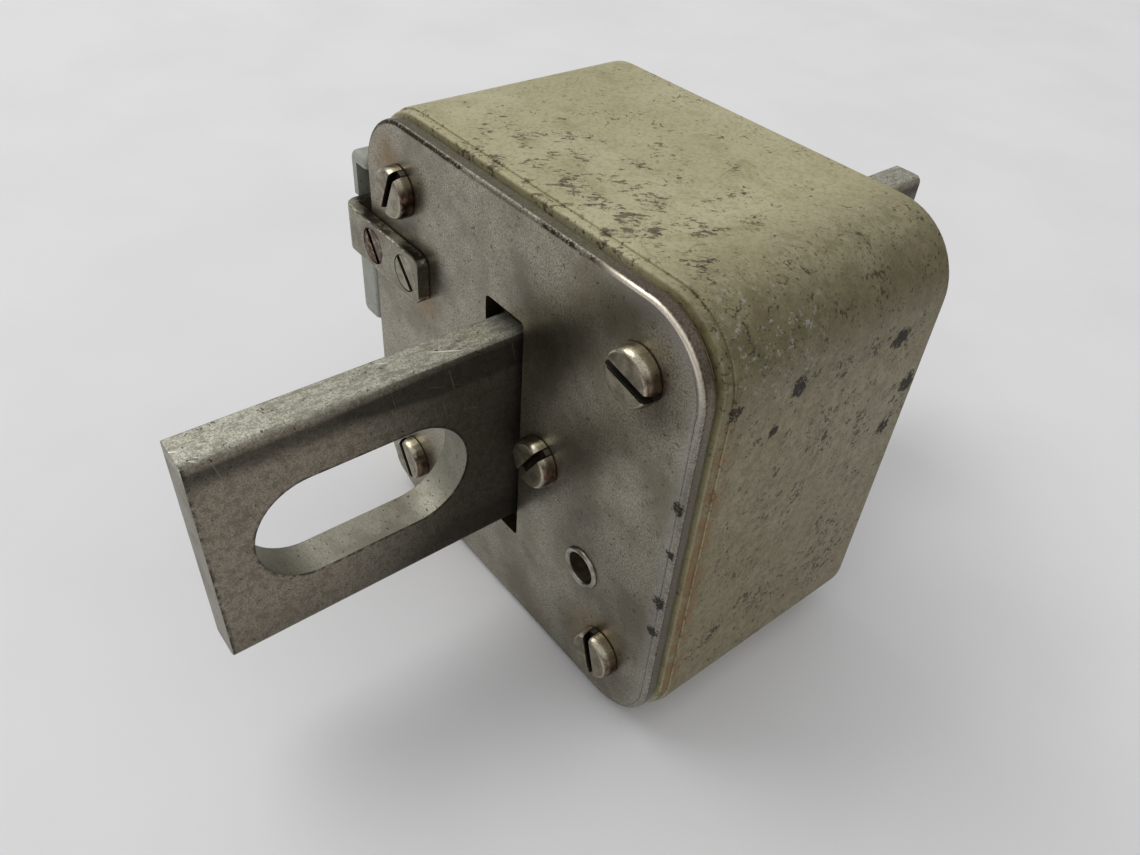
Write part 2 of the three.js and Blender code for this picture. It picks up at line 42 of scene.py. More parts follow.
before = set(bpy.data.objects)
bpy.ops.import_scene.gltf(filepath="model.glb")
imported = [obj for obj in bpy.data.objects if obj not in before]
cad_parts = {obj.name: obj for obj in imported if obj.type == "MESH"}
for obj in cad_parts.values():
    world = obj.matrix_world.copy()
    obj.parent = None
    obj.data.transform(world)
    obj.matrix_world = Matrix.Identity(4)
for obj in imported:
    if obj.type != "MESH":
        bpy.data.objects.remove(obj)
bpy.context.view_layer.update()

MM = 0.001
ENDS = (("front", -1), ("rear", 1))


# ---- Places measured on the frame ----

class Span:
    """The box of one CAD node, by its six sides."""

    def __init__(self, node):
        low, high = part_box(node)
        self.left, self.near, self.low = low
        self.right, self.far, self.high = high

    @property
    def middle(self):
        return Vector((self.left + self.right, self.near + self.far, self.low + self.high)) / 2


BODY = Span("ceramic_body")
PLATE = {name: Span(f"{name}_end_plate") for name, _ in ENDS}
BLADE = {name: Span(f"{name}_blade") for name, _ in ENDS}
HOUSING = Span("indicator_housing")
BUSH = Span("striker_bush")
STRIKER = Span("indicator_striker")
EYELET = Span("fill_eyelet")
CENTRE_HEIGHT = BODY.middle.z


# ---- Sizes that the boxes don't give ----

# How far a cutting tool sticks out of what it cuts.
BEYOND = 1 * MM

BODY_CORNER = 11 * MM
BODY_EDGE = 0.4 * MM
LIP_STEP = 0.35 * MM
LIP_EDGE = 0.4 * MM
LIP_START = -19.7 * MM
SHOULDER_EDGE = 0.25 * MM
BORE_RADIUS = 30 * MM
SCREW_HOLE_RADIUS = 2.3 * MM
PLATE_CORNER = 10.8 * MM
PLATE_EDGE = 0.7 * MM
OPENING_WIDTH = 9 * MM
OPENING_HEIGHT = 41.6 * MM
OPENING_CORNER = 0.8 * MM
HOLE_BURR = 0.12 * MM

BLADE_NEAR_ROUND = 1.4 * MM
BLADE_FAR_ROUND = 0.5 * MM
BLADE_BURR = 0.22 * MM
BLADE_SHOULDER = 21.6 * MM
BLADE_TOP = BLADE["front"].high
TENON_WIDTH = 28 * MM
BOLT_SLOT_CENTRE = 48.4 * MM
BOLT_SLOT_LENGTH = 32 * MM
BOLT_SLOT_WIDTH = 17 * MM

PAN_HEAD_RADIUS = 4 * MM
PAN_HEAD_HEIGHT = 2.4 * MM
PAN_FACE_RADIUS = 3.25 * MM
PAN_SKIRT_HEIGHT = 1.5 * MM
PAN_SHANK_RADIUS = 2 * MM
PAN_SLOT_WIDTH = 1.3 * MM
PAN_SLOT_DEPTH = 1.4 * MM
HEAD_GAP = 0.05 * MM
# Where heads and brackets rest, measured from the middle of the fuse.
SEAT = PLATE["rear"].far + HEAD_GAP
HEAD_CHAMFER = 0.1 * MM
SLOT_BURR = 0.07 * MM
THREAD_START = 0.8 * MM
THREAD_PITCH = 0.7 * MM
THREAD_DEPTH = 0.35 * MM
CORNER_SHANK = 14 * MM
CONTACT_SHANK = 6 * MM

FLUSH_RADIUS = 2.9 * MM
FLUSH_FACE_RADIUS = 2.78 * MM
FLUSH_SHANK_RADIUS = 1.5 * MM
FLUSH_SLOT_WIDTH = 1.0 * MM
FLUSH_SLOT_DEPTH = 0.7 * MM
FLUSH_LENGTH = 1.8 * MM
FLUSH_RIM = 0.25 * MM
FLUSH_DEPTH = 1.5 * MM
BRACKET_HOLE_RADIUS = 1.8 * MM
SINK_GAP = 0.12 * MM
SINK_DEPTH = 1.6 * MM

EYELET_HOLE_RADIUS = 3.1 * MM
EYELET_RIM_RADIUS = 3.5 * MM
EYELET_INNER_RADIUS = 2.6 * MM
EYELET_OUTER_RADIUS = 2.8 * MM
ELEMENT_COUNT = 4

# Where each screw slot came to rest, in degrees from level.
CORNER_SLOT_TURNS = {"front": (65, -12, 107, 119), "rear": (15, 100, 40, 130)}
CONTACT_SLOT_TURNS = {"front": (20, 57), "rear": (75, -20)}
BRACKET_SLOT_TURNS = {"front": (-50, -57), "rear": (30, -15)}

BRACKET_THICKNESS = 2 * MM
BRACKET_BEND = 2.4 * MM
BRACKET_CORNER = 1.8 * MM
BRACKET_EDGE = 0.3 * MM
BRACKET_END_PINCH = 0.2 * MM

HOUSING_CORNER = 1.6 * MM
HOUSING_EDGE = 0.9 * MM
NOTCH_LOW = CENTRE_HEIGHT + 10.4 * MM
NOTCH_HIGH = CENTRE_HEIGHT + 19.4 * MM
POCKET_HIGH = CENTRE_HEIGHT + 25.2 * MM
POCKET_WALL = 2 * MM
POCKET_DEPTH = 13 * MM
POCKET_EDGE = 0.25 * MM

STRIKER_BORE_RADIUS = 2 * MM
STRIKER_RADIUS = 0.9 * MM
STRIKER_CLEARANCE = 0.3 * MM
STRIKER_FLANGE = 1 * MM
STRIKER_CHAMFER = 0.15 * MM
STRIKER_TIP_ROUND = 0.35 * MM
BUSH_CLEARANCE = 0.15 * MM
BUSH_RIM_GAP = 0.1 * MM
BUSH_CHAMFER = 0.2 * MM
STRIKER_BORE_FLOOR = CENTRE_HEIGHT + 3 * MM
WIRE_HEIGHT = CENTRE_HEIGHT + 17.9 * MM
WIRE_RADIUS = 0.25 * MM
WIRE_CHANNEL = 0.7 * MM
WIRE_GAP = 0.02 * MM
SPRING_TURNS = 6
SPRING_STEPS = 28
SPRING_WIRE_RADIUS = 0.22 * MM
SPRING_RADIUS = 1.35 * MM

# Camera, light and table.
CAMERA_PLACE = Vector((0.08548, -0.08596, 0.12869))
CAMERA_AIM = Vector((0.01554, -0.024, 0.04837))
CAMERA_LENS = 28.89
CAMERA_ROLL = 4.75
ZENITH_STRENGTH = 0.7
HORIZON_STRENGTH = 0.24
# The dome's full strength starts at this height on a sphere of radius 1.
DOME_FULL_HEIGHT = 0.7
KEY_PLACE = (-1.3, -0.5, 1.9)
KEY_SIZE = 1.7
KEY_POWER = 17
KEY_COLOUR = (1.0, 0.99, 0.97)
TABLE_HALF = 2.5


# ---- Node trees for materials ----

def shade(red, green, blue):
    """A display colour, 0 to 255, as the linear colour that a shader takes."""
    def linear(value):
        value /= 255
        return value / 12.92 if value <= 0.04045 else ((value + 0.055) / 1.055) ** 2.4
    return (linear(red), linear(green), linear(blue), 1)


class Look:
    """One material. It starts as one colour, is painted over, and is then finished."""

    def __init__(self, name, colour, metallic=0.0):
        self.material = bpy.data.materials.new(name)
        self.material.use_nodes = True
        self.tree = self.material.node_tree
        self.shader = self.tree.nodes["Principled BSDF"]
        self.feed(self.shader, {"Metallic": metallic})
        self.colour = colour
        coordinates = self.node("ShaderNodeTexCoord")
        self.place = coordinates["Object"]
        self.facing = coordinates["Normal"]

    def feed(self, node, inputs):
        """Links or sets inputs of a node, by name or by number."""
        for key, value in inputs.items():
            if isinstance(value, bpy.types.NodeSocket):
                self.tree.links.new(value, node.inputs[key])
            else:
                node.inputs[key].default_value = value

    def node(self, kind, inputs=None, **settings):
        """The outputs of a new node with these inputs and settings."""
        made = self.tree.nodes.new(kind)
        for key, value in settings.items():
            setattr(made, key, value)
        self.feed(made, inputs or {})
        return made.outputs

    def math(self, operation, a, b=0.0):
        return self.node("ShaderNodeMath", {0: a, 1: b}, operation=operation)[0]

    def folded(self, operation, values):
        """One value out of many, taken in two at a time."""
        return reduce(lambda total, value: self.math(operation, total, value), values)

    def times(self, *values):
        return self.folded("MULTIPLY", values)

    def plus(self, *terms):
        """The sum of the terms. A term in brackets is the product of what is inside."""
        values = [self.times(*term) if isinstance(term, tuple) else term for term in terms]
        return self.folded("ADD", values)

    def most(self, *values):
        return self.folded("MAXIMUM", values)

    def least(self, *values):
        return self.folded("MINIMUM", values)

    def apart(self, value, other):
        """The distance between two values, whichever is larger."""
        return self.math("ABSOLUTE", self.math("SUBTRACT", value, other))

    def rest_of(self, amount):
        return self.math("SUBTRACT", 1.0, amount)

    def rise(self, value, low, high):
        """0 below low and 1 above high, with a smooth step between. With low above high it falls."""
        inputs = {"Value": value, "From Min": min(low, high), "From Max": max(low, high)}
        inputs["To Min"], inputs["To Max"] = (0, 1) if low < high else (1, 0)
        return self.node("ShaderNodeMapRange", inputs, interpolation_type="SMOOTHSTEP")["Result"]

    def axes(self, vector=None):
        return self.node("ShaderNodeSeparateXYZ", {0: vector or self.place})

    def stretched(self, scale, turn=(0, 0, 0)):
        """Object coordinates turned by degrees, then scaled along each axis."""
        angles = [radians(angle) for angle in turn]
        turned = self.node("ShaderNodeMapping", {"Vector": self.place, "Rotation": angles})[0]
        return self.node("ShaderNodeMapping", {"Vector": turned, "Scale": scale})[0]

    def noise(self, size, detail=2.0, roughness=0.5, vector=None):
        """Noise whose blobs are about size across."""
        inputs = {"Vector": vector or self.place, "Scale": 1 / size, "Detail": detail}
        return self.node("ShaderNodeTexNoise", {**inputs, "Roughness": roughness})["Fac"]

    def patches(self, size, low, high, detail=2.0, roughness=0.5):
        """1 in patches about size across. A higher low and high leave fewer of them."""
        return self.rise(self.noise(size, detail, roughness), low, high)

    def hairlines(self, size, width):
        """1 along thin wandering lines."""
        from_line = self.apart(self.noise(size, 1.5, 0.4), 0.5)
        return self.rise(from_line, width, width * 0.3)

    def scratches(self, width, stretch, turn, rarity):
        """1 along short straight scratches. They lie along Y and are then turned."""
        field = self.noise(width * 2.5, 1.0, 0.5, self.stretched((1, 1 / stretch, 1), turn))
        return self.rise(field, rarity, rarity + 0.03)

    def square_gap(self, half, corner):
        """How far inside a square with rounded corners a point is, seen along Y."""
        x, _, z = self.axes()
        sides = []
        for value, middle in ((x, 0), (z, CENTRE_HEIGHT)):
            past_straight = self.math("SUBTRACT", self.apart(value, middle), half - corner)
            sides.append(self.math("POWER", self.most(past_straight, 0.0), 2.0))
        return self.math("SUBTRACT", corner, self.math("SQRT", self.plus(*sides)))

    def near(self, point, inner, outer, along=None):
        """1 within inner of a point, fading to 0 at outer. The distance along one axis can be left out."""
        keep = [1.0, 1.0, 1.0]
        centre = list(point)
        if along is not None:
            keep[along] = 0.0
            centre[along] = 0.0
        flat = self.node("ShaderNodeVectorMath", {0: self.place, 1: keep}, operation="MULTIPLY")[0]
        gap = self.node("ShaderNodeVectorMath", {0: flat, 1: centre}, operation="DISTANCE")["Value"]
        return self.rise(gap, outer, inner)

    def ragged(self, crumbs, point, radius, along=None):
        """Crumbs of noise, raised round a point. Where they pass a level, they make a ragged spot."""
        return self.plus(crumbs, (self.near(point, radius * 0.1, radius, along), 0.3))

    def worn_edge(self, radius):
        """1 on convex and concave edges, from how much a rounded normal differs from the true one."""
        rounded = self.node("ShaderNodeBevel", {"Radius": radius}, samples=4)[0]
        true = self.node("ShaderNodeNewGeometry")["True Normal"]
        dot = self.node("ShaderNodeVectorMath", {0: rounded, 1: true}, operation="DOT_PRODUCT")["Value"]
        return self.rise(self.rest_of(dot), 0.02, 0.25)

    def hollow_shade(self, distance, low, high):
        """For painted shade: 1 deep in corners and gaps, where little light reaches, 0 in the open."""
        light = self.node("ShaderNodeAmbientOcclusion", {"Distance": distance}, samples=4)["AO"]
        return self.rise(self.rest_of(light), low, high)

    def mix(self, under, over, amount):
        inputs = {"Factor": amount, "A": under, "B": over}
        return self.node("ShaderNodeMix", inputs, data_type="RGBA")["Result"]

    def paint(self, colour, *amounts):
        """Lays a colour over what is there, as strongly as the amounts multiplied together."""
        self.colour = self.mix(self.colour, colour, self.times(*amounts))

    def finish(self, roughness, height, depth):
        bump = self.node("ShaderNodeBump", {"Distance": depth, "Height": height})["Normal"]
        self.feed(self.shader, {"Base Color": self.colour, "Roughness": roughness, "Normal": bump})
        return self.material


# ---- The ceramic's material ----

CREAM = shade(172, 166, 128)
PALE_CREAM = shade(184, 179, 144)
OLIVE = shade(136, 126, 86)
OLIVE_GRIME = shade(84, 77, 40)
# Brown grime, also used as painted shade over the whole right side.
SIDE_GRIME_AND_SHADE = shade(96, 83, 57)
FLECK = shade(78, 62, 42)
SOOT = shade(34, 29, 23)
CHALK = shade(196, 198, 196)
RUST_STAIN = shade(118, 82, 34)
# Brown for painted shade in gaps, and a tint on the plates' sides by the handled corner.
GAP_BROWN = shade(64, 44, 26)

TOP_CORNER = (BODY.right, 0, BODY.high)
# Soot smears on the right side, in millimetres: y, z and how far the smear reaches.
SMEARS = (
    (-7.9, 63.0, 2.7),
    (-11.0, 57.5, 1.6),
    (-19.0, 64.0, 2.2),
    (12.5, 62.0, 3.2),
    (18.8, 52.0, 3.4),
    (16.5, 45.0, 2.6),
    (-3.0, 73.0, 1.6),
)
CHALK_SCUFF = (0.0375, -0.013, 0.072)
GRIME_LINE_HEIGHT = 62.5 * MM
DRAG_ANGLE = -52
STREAK_ANGLE = -66


def glazed_ceramic():
    """Cream glaze, with flecks on its top, and more grime and painted shade on its right side."""
    look = Look("glazed_ceramic", CREAM)
    side = look.rise(look.axes(look.facing)[0], 0.25, 0.9)
    corner = look.near(TOP_CORNER, 5 * MM, 20 * MM, along=1)
    fine = look.noise(0.6 * MM, 4, 0.7)
    crumbs = look.noise(0.8 * MM, 5, 0.75)
    groups = look.plus(look.noise(4.5 * MM, 5, 0.65), -0.5)

    look.paint(PALE_CREAM, look.patches(14 * MM, 0.4, 0.7, 5))
    look.paint(OLIVE, look.patches(5 * MM, 0.48, 0.76, 7, 0.65), 0.6)
    look.paint(OLIVE, look.rise(fine, 0.46, 0.66), 0.45)
    look.paint(PALE_CREAM, look.rise(fine, 0.46, 0.34), 0.4)
    paint_handled_shaded_side(look, side, corner)

    flecks = dragged_flecks(look, side, groups)
    look.paint(FLECK, flecks, 0.8)
    look.paint(FLECK, side_streaks(look, side), 0.4)
    dots = dirt_dots(look, side, crumbs, groups)
    soot = soot_marks(look, dots, look.most(side, corner), crumbs)
    look.paint(SOOT, soot, 0.95)
    look.paint(FLECK, look.hairlines(21 * MM, 0.0016), look.patches(9 * MM, 0.45, 0.55), 0.5)
    paint_lip(look, side, crumbs)
    # Painted shade, brown, deep in corners and gaps.
    look.paint(GAP_BROWN, look.hollow_shade(0.6 * MM, 0.45, 0.9), 0.6)

    roughness = look.plus(0.4, (fine, 0.2), (flecks, 0.15), (soot, 0.35))
    ripple = look.times(look.noise(9 * MM, 3), 1.5)
    height = look.plus(ripple, (fine, 0.1), (flecks, -0.1), (dots, -0.06))
    return look.finish(roughness, height, 0.16 * MM)


def paint_handled_shaded_side(look, side, corner):
    """Brown grime and painted shade on the right side, darker up along the rounded edge, and a chalky scuff
    there.
    """
    grime = look.patches(1.7 * MM, 0.36, 0.64, 8, 0.75)
    # Painted shade: the whole right side is darkened, and grime patches darken it further.
    look.paint(SIDE_GRIME_AND_SHADE, side, look.plus(0.56, (grime, 0.26)))
    look.paint(PALE_CREAM, side, look.patches(1.6 * MM, 0.56, 0.66, 6, 0.8), 0.22)
    cloud = look.patches(3.5 * MM, 0.36, 0.66, 9, 0.8)
    look.paint(OLIVE_GRIME, corner, look.plus(0.42, (cloud, 0.44)))
    scuff = look.near(CHALK_SCUFF, 3 * MM, 14 * MM)
    look.paint(CHALK, scuff, look.patches(1.1 * MM, 0.54, 0.64, 6, 0.8), 0.5)


def dragged_flecks(look, side, groups):
    """Short strokes where something was dragged over the top, thickest in the middle of the front."""
    x, y, _ = look.axes()
    strokes = look.noise(0.75 * MM, 5, 0.72, look.stretched((0.42, 1, 1), (0, 0, DRAG_ANGLE)))
    front = look.rise(y, 16 * MM, -14 * MM)
    middle = look.rise(look.apart(x, 6 * MM), 36 * MM, 14 * MM)
    more = look.plus((front, middle, 0.14), (side, -0.1), -0.122)
    return look.rise(look.plus(strokes, (groups, 0.7), more), 0.585, 0.63)


def side_streaks(look, side):
    leaning = look.stretched((1, 0.22, 1), (STREAK_ANGLE, 0, 0))
    return look.times(look.rise(look.noise(0.6 * MM, 6, 0.78, leaning), 0.54, 0.64), side)


def dirt_dots(look, side, crumbs, groups):
    """Dots in loose groups, with a broken line of them where the side starts to curve."""
    from_line = look.apart(look.axes()[2], GRIME_LINE_HEIGHT)
    line = look.times(look.rise(from_line, 3.2 * MM, 0.2 * MM), side)
    density = look.plus(crumbs, (groups, 0.5), (side, 0.025))
    return look.rise(look.plus(density, (line, 0.035)), 0.61, 0.65)


def soot_marks(look, dots, grimy, crumbs):
    """The dots, a fine pepper and the smears, as one mask."""
    pepper = look.patches(0.4 * MM, 0.63, 0.67, 2, 0.6)
    marks = [look.times(pepper, look.plus(0.15, (grimy, 0.6)))]
    for y, z, reach in SMEARS:
        smear = look.ragged(crumbs, (BODY.right, y * MM, z * MM), reach * MM)
        marks.append(look.rise(smear, 0.64, 0.73))
    return look.most(look.times(dots, 0.8), *marks)


def paint_lip(look, side, crumbs):
    """Crumbs of dirt in the step behind the front lip, and a run of rust down its right."""
    _, y, z = look.axes()
    step = look.rise(look.apart(y, LIP_START - 0.1 * MM), 0.7 * MM, 0.05 * MM)
    patchy = look.patches(5 * MM, 0.5, 0.6, 3)
    caught = look.rise(look.plus(crumbs, (step, patchy, 0.1)), 0.58, 0.66)
    look.paint(FLECK, caught, step, patchy, 0.7)
    lip = look.rise(y, LIP_START + 2.4 * MM, LIP_START)
    run = look.patches(3.5 * MM, 0.4, 0.56, 6, 0.65)
    look.paint(RUST_STAIN, lip, run, side, look.rise(z, 66 * MM, 56 * MM), 0.75)


# ---- Materials of the plates and brackets ----

STEEL = shade(170, 165, 149)
STEEL_DULL = shade(121, 114, 97)
# Pale metal for grain, worn margins and a painted sheen on the plates' sides.
BARE_METAL_AND_SHEEN = shade(168, 166, 162)
TARNISH = shade(130, 104, 58)
RUST = shade(84, 52, 34)
# Dark brown for dirt and pits, also used as painted shade in hollows, slots and on the blades' faces.
DIRT_AND_SHADE = shade(36, 32, 27)
DARK_LINE = shade(54, 46, 37)
# Colour of painted highlights on rounded edges.
PAINTED_HIGHLIGHT = shade(246, 234, 214)
BRACKET_STEEL = shade(162, 158, 142)
BRACKET_DULL = shade(120, 115, 99)

# Marks on the front plate, in millimetres: x, z and how far the mark reaches.
HALOS = ((-30.0, 67.5, 6.5), (25.0, 11.2, 9), (-20.5, 47.5, 4.5))
SPOTS = ((36.4, 50.2, 1.9), (36.4, 32.1, 2.2), (36.0, 25.8, 1.8), (36.6, 42.0, 1.5))
# Painted shadows on the front plate, cast by the blade, the bracket and the screws: the same, and how dark
# each is.
PAINTED_SHADOWS = (
    (9.0, 61.0, 13, 0.65),
    (17.0, 49.5, 12, 0.4),
    (30.0, 62.0, 6, 0.6),
    (-17.0, 55.0, 5, 0.7),
    (-25.5, 60.0, 5, 0.6),
    (29.0, 9.0, 5, 0.5),
    (5.0, 6.0, 12, 0.2),
    (19.5, 31.5, 15, 0.45),
)
RUSTY_SCREW = (-0.0334, 0, CENTRE_HEIGHT + 0.0149)
# The top right corner of a plate, where handling has polished the face's margin and a painted highlight runs
# along its edge.
BRIGHT_CORNER = (0.029, 0, CENTRE_HEIGHT + 0.035)


def plated_steel(end, halos=(), patches=(), spots=()):
    """Dull nickel plate: a satin face with fine grain, dark crumbling edges, one polished corner with a
    painted highlight along its edge, a painted sheen on its sides and painted shade in its hollows.

    Halos are yellow tarnish, patches are soft painted shadows, and spots are black.
    """
    look = Look(f"{end}_plate_steel", STEEL, metallic=0.9)
    grain = look.noise(0.3 * MM, 3, 0.8)
    coarse = look.noise(0.9 * MM, 4, 0.7)
    cloud = look.noise(9 * MM, 5, 0.6)
    crumbs = look.noise(0.5 * MM, 5, 0.75)
    turn = look.math("ABSOLUTE", look.axes(look.facing)[1])
    face = look.rise(turn, 0.5, 0.9)
    look.paint(STEEL_DULL, look.rise(cloud, 0.36, 0.7))
    # Painted sheen: the sides and roundings are painted paler than the face.
    look.paint(BARE_METAL_AND_SHEEN, look.rest_of(face), 0.65)
    look.paint(STEEL_DULL, look.rise(grain, 0.46, 0.56), 0.9)
    look.paint(BARE_METAL_AND_SHEEN, look.rise(grain, 0.44, 0.34), 0.5)
    look.paint(DARK_LINE, look.rise(coarse, 0.56, 0.68), 0.35)
    paint_tarnish_and_shadows(look, face, halos, patches)
    pits = look.patches(0.7 * MM, 0.67, 0.71)
    look.paint(DIRT_AND_SHADE, pits, 0.6)
    # Painted shade in holes and corners.
    look.paint(DARK_LINE, look.hollow_shade(1.2 * MM, 0.5, 0.95), 0.7)

    x = look.axes()[0]
    gap = look.square_gap((PLATE[end].right - PLATE[end].left) / 2, PLATE_CORNER)
    bright = look.near(BRIGHT_CORNER, 4 * MM, 13 * MM, along=1)
    handled = look.most(bright, look.times(look.rise(x, 30 * MM, 36 * MM), 0.7))
    look.paint(BARE_METAL_AND_SHEEN, look.rise(gap, 3.6 * MM, 0.6 * MM), handled, face, 0.55)
    for at_x, z, reach in spots:
        spot = look.ragged(crumbs, (at_x * MM, 0, z * MM), reach * MM, along=1)
        look.paint(DIRT_AND_SHADE, look.rise(spot, 0.64, 0.72), face, 0.95)
    dull = paint_dark_rim(look, gap, turn, handled, crumbs)
    paint_right_seams(look, x, gap, turn, crumbs)
    # The plate's sides are tinted olive, and dark brown by the handled corner.
    sideways = look.rise(turn, 0.5, 0.15)
    side_band_tint = look.mix(OLIVE_GRIME, GAP_BROWN, handled)
    look.paint(side_band_tint, sideways, look.plus(0.45, (crumbs, 0.5)))
    # Painted highlight along the rounded edge by the top right corner.
    rounding = look.times(look.rise(turn, 0.99, 0.95), look.rise(turn, 0.35, 0.6), bright)
    look.paint(PAINTED_HIGHLIGHT, rounding, look.plus(0.55, (look.rise(crumbs, 0.35, 0.5), 0.4)))

    roughness = look.plus(0.2, (cloud, 0.12), (grain, 0.1), (dull, 0.3))
    height = look.plus((grain, 0.45), (coarse, 0.35), (pits, -0.6))
    return look.finish(roughness, height, 0.03 * MM)


def paint_tarnish_and_shadows(look, face, halos, patches):
    # Yellow tarnish halos, then painted shadows cast by the blade, the bracket and the screws.
    blotch = look.patches(1.8 * MM, 0.3, 0.6, 5, 0.65)
    for x, z, reach in halos:
        halo = look.near((x * MM, 0, z * MM), reach * 0.2 * MM, reach * MM, along=1)
        look.paint(TARNISH, halo, look.plus(0.2, (blotch, 0.6)), face, 0.8)
    for x, z, reach, strength in patches:
        cast_shadow = look.near((x * MM, 0, z * MM), 0, reach * MM, along=1)
        look.paint(DARK_LINE, cast_shadow, look.plus(0.8, (blotch, 0.2)), face, strength)


def paint_dark_rim(look, gap, turn, handled, crumbs):
    """Dark crumbling plate along the outline, but not where it is handled. Returns where it is."""
    rim = look.rise(look.apart(gap, 0.3 * MM), 0.5 * MM, 0.1 * MM)
    edge = look.times(rim, look.rise(turn, 0.15, 0.5))
    lengths = look.patches(7 * MM, 0.36, 0.56, 3)
    crumbling = look.rise(look.plus(crumbs, (edge, lengths, 0.22)), 0.6, 0.68)
    dull = look.times(edge, look.rest_of(handled))
    look.paint(DARK_LINE, dull, look.plus(0.3, (crumbling, 0.7)))
    return dull


def paint_right_seams(look, x, gap, turn, crumbs):
    """Two thin broken lines down the right edge: one on its rounding and one just inside it."""
    on_rounding = look.rise(look.apart(turn, 0.2), 0.2, 0.05)
    inside = look.rise(look.apart(gap, 0.9 * MM), 0.16 * MM, 0.05 * MM)
    right = look.times(look.rise(x, 33 * MM, 36 * MM), look.rise(crumbs, 0.38, 0.5))
    look.paint(DARK_LINE, look.plus(on_rounding, inside), right, 0.6)


def bracket_steel():
    """Paler than the end plates, with its upper and lower edges rubbed dark along their length, a painted
    highlight on their roundings and painted shade in its hollows.
    """
    look = Look("bracket_steel", BRACKET_STEEL, metallic=0.9)
    grain = look.noise(0.3 * MM, 3, 0.8)
    cloud = look.noise(5 * MM, 5, 0.65)
    look.paint(BRACKET_DULL, look.rise(cloud, 0.38, 0.66))
    look.paint(BRACKET_DULL, look.rise(grain, 0.44, 0.58), 0.9)
    upward = look.math("ABSOLUTE", look.axes(look.facing)[2])
    lengthwise = look.noise(0.5 * MM, 4, 0.7, look.stretched((0.08, 0.08, 1)))
    rubbed = look.times(look.rise(upward, 0.3, 0.8), look.rise(lengthwise, 0.42, 0.56))
    look.paint(DARK_LINE, rubbed)
    # Painted highlight on the roundings of the upper and lower edges.
    rounding = look.times(look.rise(upward, 0.08, 0.3), look.rise(upward, 0.9, 0.6))
    look.paint(PAINTED_HIGHLIGHT, rounding, look.patches(1.2 * MM, 0.5, 0.62, 4), 0.7)
    pits = look.patches(0.5 * MM, 0.67, 0.72)
    look.paint(DIRT_AND_SHADE, pits, 0.7)
    # Painted shade in the hollows.
    look.paint(DARK_LINE, look.hollow_shade(1.0 * MM, 0.5, 0.95), 0.7)
    rust = look.near(RUSTY_SCREW, 2.6 * MM, 4.6 * MM, along=1)
    look.paint(RUST, rust, look.patches(1.4 * MM, 0.42, 0.6, 4), 0.6)
    roughness = look.plus(0.27, (cloud, 0.12), (grain, 0.1))
    height = look.plus((grain, 0.3), (rubbed, -0.4), (pits, -0.5))
    return look.finish(roughness, height, 0.03 * MM)


# ---- The blades' material ----

PATINA = shade(160, 152, 137)
PATINA_DARK = shade(112, 102, 87)
TIN = shade(192, 190, 176)
TIN_DULL = shade(132, 129, 114)
SHEARED = shade(153, 150, 137)
SHEARED_DULL = shade(126, 122, 108)
SCRATCH = shade(236, 232, 222)


def aged_blade():
    """Tin-plated copper: dark patina on the flat faces, worn tin on top, paler metal where it was cut."""
    look = Look("aged_blade", SHEARED, metallic=0.8)
    z = look.axes()[2]
    flat = look.rise(look.math("ABSOLUTE", look.axes(look.facing)[0]), 0.5, 0.9)
    top = look.rise(z, BLADE_TOP - 2.2 * MM, BLADE_TOP - 1.2 * MM)
    mottle = look.noise(0.3 * MM, 3, 0.85)
    stains = look.noise(1.1 * MM, 7, 0.8)
    look.paint(SHEARED_DULL, look.rise(mottle, 0.4, 0.62), 0.6)
    look.paint(SHEARED_DULL, look.patches(5 * MM, 0.42, 0.68, 5))
    look.paint(worn_tin(look, mottle), top)
    look.paint(patina(look, mottle, stains), flat)

    facing = look.rise(flat, 0.0, 0.4)
    # Painted shade on the flat faces: under the top edge, near the plate and along the foot.
    look.paint(DIRT_AND_SHADE, painted_face_shade(look), facing, 0.85)
    edge = look.rise(blade_gap(look), 0.65 * MM, 0.1 * MM)
    look.paint(DIRT_AND_SHADE, edge, look.patches(1.4 * MM, 0.4, 0.56, 5, 0.7), facing, 0.8)

    cuts = look.scratches(0.22 * MM, 12, (0, 0, 28), 0.66)
    cuts = look.times(cuts, look.patches(6 * MM, 0.48, 0.58, 3), look.rest_of(flat), top)
    look.paint(SCRATCH, cuts, 0.9)
    marks = look.plus(
        look.scratches(0.16 * MM, 26, (78, 0, 0), 0.73),
        look.scratches(0.16 * MM, 20, (20, 0, 0), 0.73),
    )
    look.paint(TIN, marks, flat, 0.12)
    pits = look.patches(0.6 * MM, 0.64, 0.69, 3, 0.6)
    look.paint(DIRT_AND_SHADE, pits, 0.7)

    cloud = look.noise(4 * MM, 6, 0.65)
    roughness = look.plus(0.38, (mottle, 0.24), (flat, 0.06))
    height = look.plus(cloud, (stains, 0.4), (mottle, 0.12))
    height = look.plus(height, (cuts, -0.4), (pits, -0.4))
    return look.finish(roughness, height, 0.08 * MM)


def worn_tin(look, mottle):
    drawn = look.noise(0.9 * MM, 6, 0.78, look.stretched((1, 0.35, 1)))
    worn = look.mix(TIN, TIN_DULL, look.times(look.rise(mottle, 0.42, 0.6), 0.8))
    return look.mix(worn, TIN_DULL, look.times(look.rise(drawn, 0.46, 0.6), 0.8))


def patina(look, mottle, stains):
    mottled = look.mix(PATINA, PATINA_DARK, look.times(look.rise(mottle, 0.4, 0.62), 0.7))
    return look.mix(mottled, PATINA_DARK, look.times(look.rise(stains, 0.45, 0.6), 0.7))


